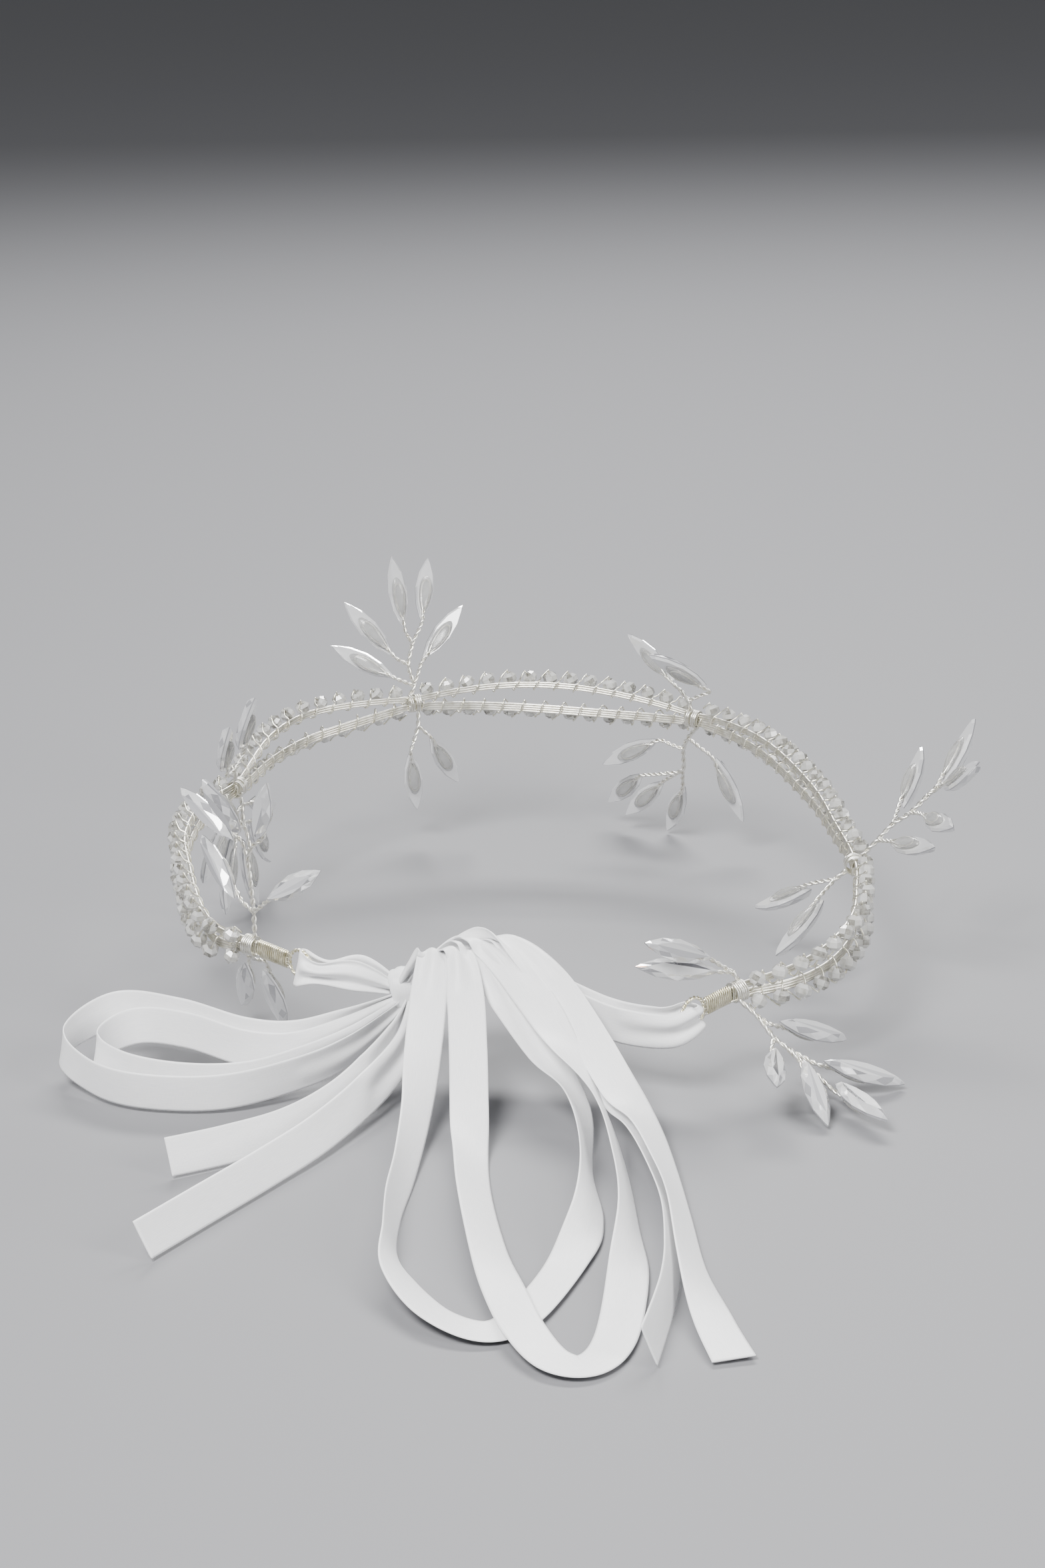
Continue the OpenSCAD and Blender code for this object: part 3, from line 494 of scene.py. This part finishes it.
TAIL_INNER = [[-16.6, -42.2, 14, 0.35, -0.5, 0, 0.8], [-11.4, -41.6, 17.6, 0.5, -0.8, 0.1, 0.6],
    [-6, -42.8, 19.6, 0.75, -0.95, 0.1, 0.2], [-1.2, -45.6, 20, 0.8, -1, 0.2, 0.2],
    [5, -52.8, 16, 1, -1, 0.2, 0], [10.6, -63, 10.4, 1, -1, 0.2, 0], [15.8, -75.6, 5.4, 1, -1, 0.1, 0],
    [18.9, -86.4, 3.5, 1, -0.8, 0, 0.6], [20.4, -100.2, 3, 1, -0.5, 0, 0.85],
    [21.8, -116.1, 3.2, 1, -0.4, 0, 0.9], [21.4, -130.8, 3.3, 1, -0.35, 0, 0.93],
    [20.3, -140.2, 3.3, 1, -0.3, 0, 0.95], [18.7, -148.3, 3.3, 1, -0.3, 0, 0.95],
    [16.6, -157.6, 3.3, 1, -0.35, 0, 0.93]]
THICK = 0.24
CUP = 0.12  # how far the strip bows across its width
ACROSS = 17  # points across the width


def ribbon(name, route, folds, phase):
    """One length of ribbon, gathered in soft folds where its width factor is small."""
    line = smooth(route, 14)
    p = line[:, :3]
    s = running(p)
    t = headings(p)
    q = np.linspace(-1, 1, ACROSS)
    outer, u_of, v_of = [], [], []
    for i in range(len(p)):
        hint = line[i][4:7]
        w = turned(hint, t[i])
        n = np.cross(t[i], w)
        k = min(1, max(0.3, line[i][3]))
        half = k * RIBBON_W / 2
        # the folds take up the width that the gathering loses
        slope = math.sqrt(max(0, 1 / k ** 2 - 1))
        amp = min(0.75, 0.8 * half * slope / (2 * folds))
        wave = amp * np.sin(math.pi * folds * q + phase + 0.02 * s[i])
        wave += CUP * (1 - k * 0.5) * (q ** 2 - 0.4) * math.sin(0.11 * s[i] + phase)
        x = half * q
        dx, dy = np.gradient(x), np.gradient(wave)
        size = np.hypot(dx, dy)
        nx, ny = -dy / size, dx / size
        edge = THICK / 2 * np.where(np.abs(q) > 0.97, 0.55, 1.0)
        top = np.stack([x + nx * edge, wave + ny * edge], 1)
        low = np.stack([x - nx * edge, wave - ny * edge], 1)[::-1]
        ring = np.concatenate([top, low])
        outer.append(p[i] + ring[:, :1] * w + ring[:, 1:] * n)
        u_of.append(np.concatenate([q, q[::-1]]) * RIBBON_W / 2)
        v_of.append(np.full(2 * ACROSS, s[i]))
    b = Build()
    m, n = len(outer), 2 * ACROSS
    faces = [[i * n + j, (i + 1) * n + j, (i + 1) * n + (j + 1) % n, i * n + (j + 1) % n]
             for i in range(m - 1) for j in range(n)]
    for base, flip in ((0, False), ((m - 1) * n, True)):
        for j in range(ACROSS - 1):
            quad = [base + j, base + j + 1, base + n - 2 - j, base + n - 1 - j]
            faces.append(quad[::-1] if flip else quad)
    b.add(np.concatenate(outer), faces, 0.5, np.stack([np.concatenate(u_of), np.concatenate(v_of)], 1))
    obj = b.object("satin_" + name, "band", "white_satin", SATIN, replaces=[name])


for name, route, far, folds, phase in [
        ("ribbon_left_run", LEFT_RUN, "object", 1.6, 0.4),
        ("ribbon_right_run", RIGHT_RUN, "object", 1.6, 1.2),
        ("bow_left_loop_outer", LOOP_OUTER, "object", 1.5, 0.2),
        ("bow_left_loop_inner", LOOP_INNER, "object", 1.5, 1.9),
        ("bow_front_loop_left", FRONT_LEFT, "object", 1.3, 0.9),
        ("bow_front_loop_right", FRONT_RIGHT, "object", 1.3, 2.3),
        ("tail_left_short", TAIL_SHORT, "bare", 1.5, 0.6),
        ("tail_left_long", TAIL_LONG, "bare", 1.5, 1.6),
        ("tail_right_outer", TAIL_OUTER, "bare", 1.3, 0.3),
        ("tail_right_inner", TAIL_INNER, "bare", 1.3, 1.4)]:
    # the short run at the left eye is gathered all along, so its declared width is a little less
    ribbon(name, route, folds, phase)

# ---------- the knot: one soft turn of ribbon round the gathered lengths ----------
KNOT = np.array([-19.4, -42.6, 12.6])
KNOT_SIZE = 1.12


def knot():
    b = Build()
    rings_, uvs = [], []
    m, n = 64, 30
    across = unit(np.array([1.0, 0.05, 0.12]))
    up = turned(np.array([0.0, 0.25, 1.0]), across)
    front = np.cross(across, up)
    for i in range(m):
        a = 2 * math.pi * i / m
        ring = []
        pinch = 1 - 0.16 * math.exp(-((a - 2.1) / 0.5) ** 2) - 0.1 * math.exp(-((a - 5.0) / 0.6) ** 2)
        for j in range(n):
            c = 2 * math.pi * j / n
            # a flattened round section, wide along the knot's own width, with two soft creases
            x = 2.55 * math.copysign(abs(math.cos(c)) ** 0.75, math.cos(c)) * (1 + 0.08 * math.sin(2 * a))
            r = 0.95 * math.copysign(abs(math.sin(c)) ** 0.8, math.sin(c))
            if r > 0:
                r -= 0.22 * math.exp(-((x - 0.8 * math.sin(a + 0.5)) / 0.35) ** 2)
                r -= 0.16 * math.exp(-((x + 1.5 - 0.5 * math.sin(a)) / 0.3) ** 2)
            x *= KNOT_SIZE
            rad = KNOT_SIZE * (2.55 * pinch + r)
            ring.append(KNOT + across * x + front * rad * math.sin(a) * 0.95 + up * rad * math.cos(a) * 1.12)
        rings_.append(np.array(ring))
        uvs.append(np.stack([2.6 * np.cos(2 * np.pi * np.arange(n) / n),
                             np.full(n, a * 3.3)], 1))
    b.rings(rings_, closed=True, uv=np.concatenate(uvs))
    # the gathered lengths that fill the turn
    core = []
    for x in np.linspace(-2.3, 2.3, 13):
        r = 2.3 * (1 - 0.12 * (x / 2.3) ** 2)
        core.append(np.array([KNOT + across * x + r * (1 + 0.05 * math.cos(5 * c)) *
                              (front * math.sin(c) + up * math.cos(c) * 1.1)
                              for c in 2 * np.pi * np.arange(28) / 28]))
    b.rings(core)
    return b.object("satin_bow_knot", "band", "white_satin", SATIN, replaces=["bow_knot"])


knot()

# ---------- core wires ----------
stops = np.linspace(0, band_len, 420)
for name, rows, fn in [("upper_middle_wire", [1], upper_wire), ("upper_side_wires", [0, 2], upper_wire),
                       ("lower_middle_wire", [1], lower_wire), ("lower_side_wires", [0, 2, 3], lower_wire)]:
    b = Build()
    for j in rows:
        b.tube([fn(s, j) for s in stops], CORE_D / 2, 8)
    b.object("round_" + name, "band", "silver_wire", CORE_METAL, replaces=[name])

# ---------- beads and the wire that carries them ----------
BEAD_PITCH = [4.4, 3.9, 4.3, 4.4, 4.3]
BEAD_U, BEAD_V = 1.75, 1.1
bead_count = [1 + math.floor((bindings[k + 1] - bindings[k] - 2 * BEAD_MARGIN) / BEAD_PITCH[k] + 0.5)
              for k in range(5)]


def bead_s(k, i):
    a, b = bindings[k] + BEAD_MARGIN, bindings[k + 1] - BEAD_MARGIN
    return a + (b - a) * i / (bead_count[k] - 1)


def bead_lean(k, i):
    return math.radians(115 + 14 * math.sin(math.radians(137 * i + 60 * k)))


def bead_mid(k, i, up):
    s = bead_s(k, i)
    return on_band(s, BEAD_U, up * (strand_v(s) + BEAD_V))


def bead_axis(k, i, up):
    s, a = bead_s(k, i), bead_lean(k, i)
    return up * (math.cos(a) * along(s) + math.sin(a) * upward(s))


# Outline of a tumbled seed bead: [radius, height] as shares of its radius and half length
BEAD_PROFILE = [[0.42, -0.7], [0.6, -1.0], [1.02, -0.42], [1.02, 0.42], [0.6, 1.0], [0.42, 0.7]]


# random per-facet painted reflections for the beads, mostly white highlights
bead_tone = np.random.RandomState(5)


def beads(up):
    b = Build()
    for k in range(5):
        for i in range(bead_count[k]):
            mid, ax = bead_mid(k, i, up), bead_axis(k, i, up)
            side = turned(np.array([0.3, 0.2, 1.0]), ax)
            other = np.cross(ax, side)
            grow = 1 + 0.04 * math.sin(71 * i + 13 * k + up)
            n = 7
            ang = 2 * np.pi * (np.arange(n) + 0.37 * i) / n
            around = np.cos(ang)[:, None] * side + np.sin(ang)[:, None] * other
            b.rings([mid + ax * z * BEAD_LEN / 2 + around * r * BEAD_D / 2 * (grow if r > 0.5 else 1)
                     for r, z in BEAD_PROFILE], closed=True,
                    tone=bead_tone.choice([0.25, 0.5, 0.75, 0.95, 0.95], len(BEAD_PROFILE) * n))
    return b


def turn(k, i, h):
    a = bead_lean(k, i)
    c, s = math.cos(a), math.sin(a)
    mouth = BEAD_LEN / 2 + 0.05
    return [[-1.6, 0.9, 1.5], [c * (mouth + 0.5), BEAD_U - 0.1, BEAD_V + s * (mouth + 0.45)],
            [c * mouth, BEAD_U, BEAD_V + s * mouth], [-c * mouth, BEAD_U, BEAD_V - s * mouth],
            [0.9, 0.75, -h - 0.5], [1.25, -0.48, -h - 0.05], [1.8, -0.5, h - 0.2]]


def wrap(up, h):
    b = Build()
    for k in range(5):
        n = bead_count[k] - 1
        pts = []
        for i0 in range(n + 1):
            i = i0 if up > 0 else n - i0
            s = bead_s(k, i)
            v = strand_v(s)
            for q in turn(k, i, h) + ([[2.25, -0.05, h + 0.34]] if i0 < n else []):
                pts.append(on_band(s + up * q[0], q[1], up * (v + q[2])))
        b.tube(smooth(pts, 4), WRAP_D / 2, 6)
    # close turns under the sprigs' bindings: the upper wrap wire makes them at bindings 1, 3 and 5
    for k in range(0 if up > 0 else 1, 6, 2):
        b.tube(close_turns(bindings[k] - 1.45, bindings[k] + 1.45, 0.44, 0.62, 1.22), 0.17, 6)
    return b


def close_turns(a, b, pitch, half_u, half_v):
    """A wire wound closely round both strands between two places along the band."""
    count = int((b - a) / pitch * 18)
    out = []
    for i in range(count + 1):
        s, w = a + (b - a) * i / count, 2 * math.pi * i / 18
        out.append(on_band(s, half_u * math.sin(w), half_v * math.cos(w)))
    return out


for name, up in (("upper", 1), ("lower", -1)):
    beads(up).object(f"glass_{name}_beads", "band", "glass_bead", BEAD, flat=True,
                     replaces=[f"{name}_beads"])
    h = CORE_PITCH + CORE_D / 2 if up > 0 else 1.5 * CORE_PITCH + CORE_D / 2
    wrap(up, h).object(f"round_{name}_wrap_wire", "band", "silver_wire", WRAP_METAL,
                       replaces=[f"{name}_wrap_wire"])


def twisted(b, p, r, offset, pitch, n=7, phase=0.0, step=0.22):
    """Two wires twisted round each other along a line."""
    p = np.asarray(p, float)
    run = running(p)
    count = max(6, int(run[-1] / step))
    s = np.linspace(0, run[-1], count)
    line = np.stack([np.interp(s, run, p[:, k]) for k in range(3)], 1)
    t, a = carried_sides(line)
    c = np.cross(t, a)
    for half in (0, math.pi):
        w = 2 * np.pi * s / pitch + half + phase
        b.tube(line + offset * (np.cos(w)[:, None] * a + np.sin(w)[:, None] * c), r, n)


# ---------- ribbon eyes: two wires twisted into a ring ----------
def eye(name, s, direction):
    b = Build()
    c = at(s) + direction * (EYE_R + 0.1) * along(s)
    axis = outward(s)
    x = -direction * along(s)
    y = np.cross(axis, x)
    m, turns = 220, 9
    for half in (0, math.pi):
        pts = []
        for i in range(m):
            a = 2 * math.pi * i / m
            out = math.cos(a) * x + math.sin(a) * y
            w = turns * a + half
            pts.append(c + (EYE_R + 0.17 * math.cos(w)) * out + 0.17 * math.sin(w) * axis)
        b.tube(pts, 0.19, 8, closed=True)
    # close turns bind the eye's shank on the ends of the two strands
    near, far = sorted([s - direction * 0.25, bindings[0] - 1.9 if direction < 0 else bindings[5] + 1.9])
    b.tube(close_turns(near, far, 0.46, 0.6, 1.52), 0.19, 6)
    b.object("twisted_" + name, "band", "silver_wire", BIND_METAL, replaces=[name])


eye("left_ribbon_eye", 0, -1)
eye("right_ribbon_eye", band_len, 1)

# ---------- sprigs ----------
# Each sprig has a top and a low branch: [lean, stem, leaves], as in the CAD source
SPRIGS = [
  [ [0, [[-0.7, 1.8], [-0.5, 6.5], [0.2, 12], [0.8, 16], [0.2, 18.5]],
      [[3, 3, 19.6, 66, -6], [4, 1.4, 21.4, 4, 36], [1, 2.9, 8.6, 58, -20], [4, -2.7, 21.3, -24, 18],
       [1, -4.6, 10.2, -54, 0]]],
    [-20, [[0.7, 1.8], [0.3, 3.2]],
      [[1, -2.4, 3.8, 2, -8], [1, 1.8, 3.7, 22, -8]]] ],
  [ [-5, [[-0.7, 1.8], [-0.6, 4.2]],
      [[1, 3.6, 6.4, -14, -22], [1, -4.2, 5, -24, -20]]],
    [-4, [[0.7, 1.8], [0.3, 4], [-0.3, 7.5], [0, 9]],
      [[3, 0.3, 11.4, 2, 0], [2, 4.6, 9.6, 32, 8], [2, -4.2, 9, -26, 2], [1, 5, 5.6, 64, 6],
       [1, -5, 5.4, -64, -2]]] ],
  [ [10, [[-0.7, 1.8], [0.4, 3.6], [-0.3, 8], [0.9, 12], [0.3, 14]],
      [[4, -0.2, 15.8, -3, 0], [3, 3.6, 16.6, 20, 30], [1, 2.9, 8.5, 47, 15], [2, -3, 10.2, -35, 12],
       [1, -3.2, 5.6, -56, 22]]],
    [-5, [[0.7, 1.8], [0.4, 4.8], [-0.8, 8]],
      [[2, -1.7, 10.4, 6, 22], [1, 2.9, 7.8, 28, 25]]] ],
  [ [-5, [[-0.7, 1.8], [-1.4, 3.6], [-3, 5.4]],
      [[2, -5.2, 6.8, -64, 10], [1, 2.4, 7.4, -40, -42]]],
    [12, [[0.7, 1.8], [-1.8, 5], [-3.2, 8], [-3.8, 13], [-8, 15]],
      [[1, 4.1, 8.8, 20, 2], [2, -10, 8, -60, -14], [4, -15, 17.6, -46, 6], [3, -9.6, 17.8, -44, -2],
       [3, -4.4, 17.75, -26, 6]]] ],
  [ [47, [[-0.7, 1.8], [-1.2, 6], [-2, 10], [-0.8, 14], [-1.4, 18.5]],
      [[2, -6.6, 12.6, -56, -4], [4, -2.6, 21.5, -41, -5], [4, -0.8, 21.4, 46, -18], [3, 2.2, 15.7, 70, -6],
       [1, 1.4, 7.6, 58, 0]]],
    [-60, [[0.7, 1.8], [1.4, 4.2]],
      [[1, -2, 9.4, -36, 8], [1, 4.2, 7.8, 40, 0]]] ],
  [ [-20, [[-0.7, 1.8], [0, 3.4]],
      [[1, 4, 6.9, 64, 10], [1, 3.2, 4.4, 70, -12]]],
    [56.5, [[0.7, 1.8], [-0.4, 6], [-0.6, 10.5], [-1.6, 13.5], [-3.2, 19.5]],
      [[1, -2.6, 8.8, -70, -22], [3, -5.2, 18.6, -56, -8], [3, -2, 17, 20, 8], [4, -4.4, 23.4, 4, 30],
       [2, 1.8, 13.4, 40, 28]]] ]
]
STALK_DEPTH = LEAF_BACK + STEM_D / 2 + 0.2
PAD_START, PAD_T = 2, 1.2


def branch_frame(i, up):
    s, a = bindings[i], math.radians(SPRIGS[i][0 if up > 0 else 1][0])
    t, o, w = along(s), outward(s), upward(s)
    return [t, up * math.cos(a) * w + math.sin(a) * o, -up * math.sin(a) * w + math.cos(a) * o]


def in_branch(i, f, p, n):
    return at(bindings[i]) + p[0] * f[0] + p[1] * f[1] + n * f[2]


def leaf_frame(i, f, q):
    side, lean = math.radians(q[3]), math.radians(q[4])
    flat = math.cos(side) * f[1] + math.sin(side) * f[0]
    d = math.cos(lean) * flat + math.sin(lean) * f[2]
    n = math.cos(lean) * f[2] - math.sin(lean) * flat
    return [in_branch(i, f, [q[1], q[2]], STALK_DEPTH), d, np.cross(n, d), n]


def in_leaf(l, x, y, z):
    return l[0] + x * l[1] + y * l[2] + z * l[3]


def crystal(b, l, rand, glint):
    """A long pointed oval: a table in three strips, rows of facets, a thin girdle and a flat back."""
    c, w, n = LEAF_LEN / 2, LEAF_W / 2, 12
    big = (c * c + w * w) / (2 * w)

    def row(scale_x, scale_y, z, half):
        out = []
        for i in range(n):
            a = 2 * math.pi * (i + half) / n
            x = -math.cos(a)
            y = (math.sqrt(max(0, big ** 2 - (x * c) ** 2)) - (big - w)) * (1 if math.sin(a) > 0 else -1)
            if abs(math.sin(a)) < 1e-6:
                y = 0
            out.append(in_leaf(l, c + x * c * scale_x, y * scale_y, z))
        return out

    f = LEAF_FRONT
    pts = (row(1, 1, -0.12, 0) + row(1, 1, 0.14, 0) + row(0.9, 0.8, 0.62 * f, 0.5)
           + row(0.76, 0.56, f, 0) + row(0.92, 0.84, -LEAF_BACK, 0))
    low, gird, mid, top, back = (k * n for k in range(5))
    faces, tones = [], []

    def put(face, tone):
        faces.append(face)
        tones.append(tone)

    # each facet gets a painted reflection value: the girdle painted dark, the other facets light, grey or
    # dark at random
    rim = rand.choice([0.9, 0.95, 0.95])
    for i in range(n):
        j = (i + 1) % n
        h = (i - 1) % n
        put([low + i, low + j, gird + j, gird + i], 0.3)
        put([gird + i, gird + j, mid + i], rand.choice([0.6, 0.85, rim, rim]))
        put([gird + i, mid + i, top + i, mid + h], rand.choice([0.35, 0.8, rim, rim]))
        put([mid + i, top + j, top + i], rand.choice([0.3, 0.75, rim, rim]))
        put([back + i, back + j, low + j, low + i], rand.choice([0.6, 0.8, 0.95]))
    # the table is cut in three long strips, each with a painted reflection, and one of them mirrors
    # something dark
    strips = [rand.choice([0.8, 0.95]), rand.choice([0.1, 0.3, 0.55, 0.7]), rand.choice([0.5, 0.8, 0.95])]
    rand.shuffle(strips)
    put([top + k for k in (0, 1, 2, 3, 4, 5, 6)], strips[0])
    put([top + k for k in (6, 7, 8, 0)], strips[1])
    put([top + k for k in (8, 9, 10, 11, 0)], strips[2])
    put([back + k for k in range(n)][::-1], 0.85)
    # painted orange glint on two facets of this crystal
    if glint:
        tones[1 + 5 * 6] = 1.0
        tones[2 + 5 * 6] = 1.0
    b.add(np.array(pts), faces, tones)


def pad(b, l):
    """Clear glue, domed over the wire loop on the crystal's back."""
    w, top = PAD_W / 2, -LEAF_BACK - 0.01
    rings_ = []
    m, n = 15, 16
    for i in range(m):
        t = i / (m - 1)
        x = PAD_START + PAD_LEN * (0.5 - 0.5 * math.cos(math.pi * t))
        u = (x - PAD_START) / PAD_LEN
        wide = w * max(0.06, (math.sin(math.pi * min(1, u ** 0.85)) ** 0.55) * (0.62 + 0.42 * u))
        tall = PAD_T * max(0.06, math.sin(math.pi * min(1, max(0, u))) ** 0.5) * 0.95
        ring = []
        for k in range(n):
            a = 2 * math.pi * k / n
            y = min(w, wide) * math.cos(a)
            z = top - tall * 0.5 + tall * 0.5 * math.sin(a)
            if math.sin(a) > 0:
                z = top - tall * 0.5 + tall * 0.5 * math.sin(a) ** 0.35
            ring.append(in_leaf(l, x, y, z))
        rings_.append(np.array(ring))
    b.rings(rings_)


def stem_and_turns(i, up):
    b = Build()
    branch = SPRIGS[i][0 if up > 0 else 1]
    f = branch_frame(i, up)
    nodes_ = [in_branch(i, f, p, 0) for p in branch[1]]
    # binding turns round both strands
    turns = 2.75
    steps = int(turns * 26)
    coil = []
    for k in range(steps + 1):
        a = 2 * math.pi * k / 26
        coil.append(in_branch(i, f, [-up * (0.1 + 1.15 * k / steps), 0], 0)
                    + (BIND_R - 0.08) * (math.cos(a) * f[1] + math.sin(a) * f[2]))
    b.tube(coil, 0.17, 7)
    line = smooth(nodes_, 10)
    twisted(b, line, 0.245, 0.245, 3.3, phase=0.7 * i)
    for j, q in enumerate(branch[2]):
        l = leaf_frame(i, f, q)
        start = nodes_[q[0]]
        near = in_leaf(l, -0.8, 0, -STALK_DEPTH)
        far = in_leaf(l, PAD_START - 0.1, 0, -STALK_DEPTH)
        mid = (start + near) / 2
        route = smooth([start, mid, near, far], 8)
        twisted(b, route, 0.215, 0.215, 2.8, phase=1.3 * j, step=0.2)
        # the stalk's two wires part into a drop-shaped loop inside the glue
        loop = []
        for k in range(33):
            a = 2 * math.pi * k / 32
            x = PAD_START - 0.1 + 3.6 * (1 - math.cos(a))
            y = 1.05 * math.sin(a) * (0.35 + 0.65 * (1 - math.cos(a)) / 2) * 1.15
            loop.append(in_leaf(l, x, y, -STALK_DEPTH))
        b.tube(loop, 0.16, 6)
    return b


rand = np.random.RandomState(11)
for i in range(6):
    for up, word in ((1, "top"), (-1, "low")):
        name = f"sprig_{i + 1}_{word}"
        body = name + "_branch"
        f = branch_frame(i, up)
        leaves = SPRIGS[i][0 if up > 0 else 1][2]
        b = Build()
        for j, q in enumerate(leaves):
            crystal(b, leaf_frame(i, f, q), rand, i == 5 and up > 0 and j == 1)
        b.object(f"cut_{name}_crystals", body, "crystal", CRYSTAL, flat=True, replaces=[name + "_crystals"])
        b = Build()
        for q in leaves:
            pad(b, leaf_frame(i, f, q))
        b.object(f"clear_{name}_pads", body, "glue_pad", GLUE, replaces=[name + "_pads"])
        stem_and_turns(i, up).object(f"twisted_{name}_stem", body, "silver_wire", STEM_METAL,
                                     replaces=[name + "_stem"])

# ---------- floor and light ----------
FLOOR_HALF, FLOOR_Z = 6, -0.0002
floor_mat, nodes, links, bsdf = material("pale_floor")
bsdf.inputs["Base Color"].default_value = (0.21, 0.21, 0.22, 1)
bsdf.inputs["Roughness"].default_value = 0.6
mesh = bpy.data.meshes.new("floor")
corners = [(-1, -1), (1, -1), (1, 1), (-1, 1)]
mesh.from_pydata([(x * FLOOR_HALF, y * FLOOR_HALF, FLOOR_Z) for x, y in corners], [], [(0, 1, 2, 3)])
mesh.materials.append(floor_mat)
floor = bpy.data.objects.new("floor", mesh)
scene.collection.objects.link(floor)

world = bpy.data.worlds.new("studio")
scene.world = world
world.use_nodes = True
world.node_tree.nodes["Background"].inputs["Color"].default_value = (0.62, 0.63, 0.66, 1)
world.node_tree.nodes["Background"].inputs["Strength"].default_value = 0.32


def lamp(name, place, look, size, power, tint=(1, 1, 1)):
    data = bpy.data.lights.new(name, "AREA")
    data.shape, data.size, data.size_y = "RECTANGLE", size[0], size[1]
    data.energy, data.color = power, tint
    o = bpy.data.objects.new(name, data)
    scene.collection.objects.link(o)
    back = unit(np.array(place, float) - np.array(look, float))
    side = unit(np.cross([0, 0, 1], back)) if abs(back[2]) < 0.99 else np.array([1.0, 0, 0])
    top = np.cross(back, side)
    o.matrix_world = Matrix([[*(float(v[k]) for v in (side, top, back)), float(place[k])] for k in range(3)]
                            + [[0, 0, 0, 1]])


lamp("key", (-0.35, -0.5, 0.85), (0, -0.02, 0), (0.5, 0.4), 22)
lamp("fill", (0.8, -0.55, 0.5), (0, 0, 0), (0.35, 0.5), 8)
lamp("back", (0.15, 0.8, 0.7), (0, 0, 0.02), (0.8, 0.2), 15)
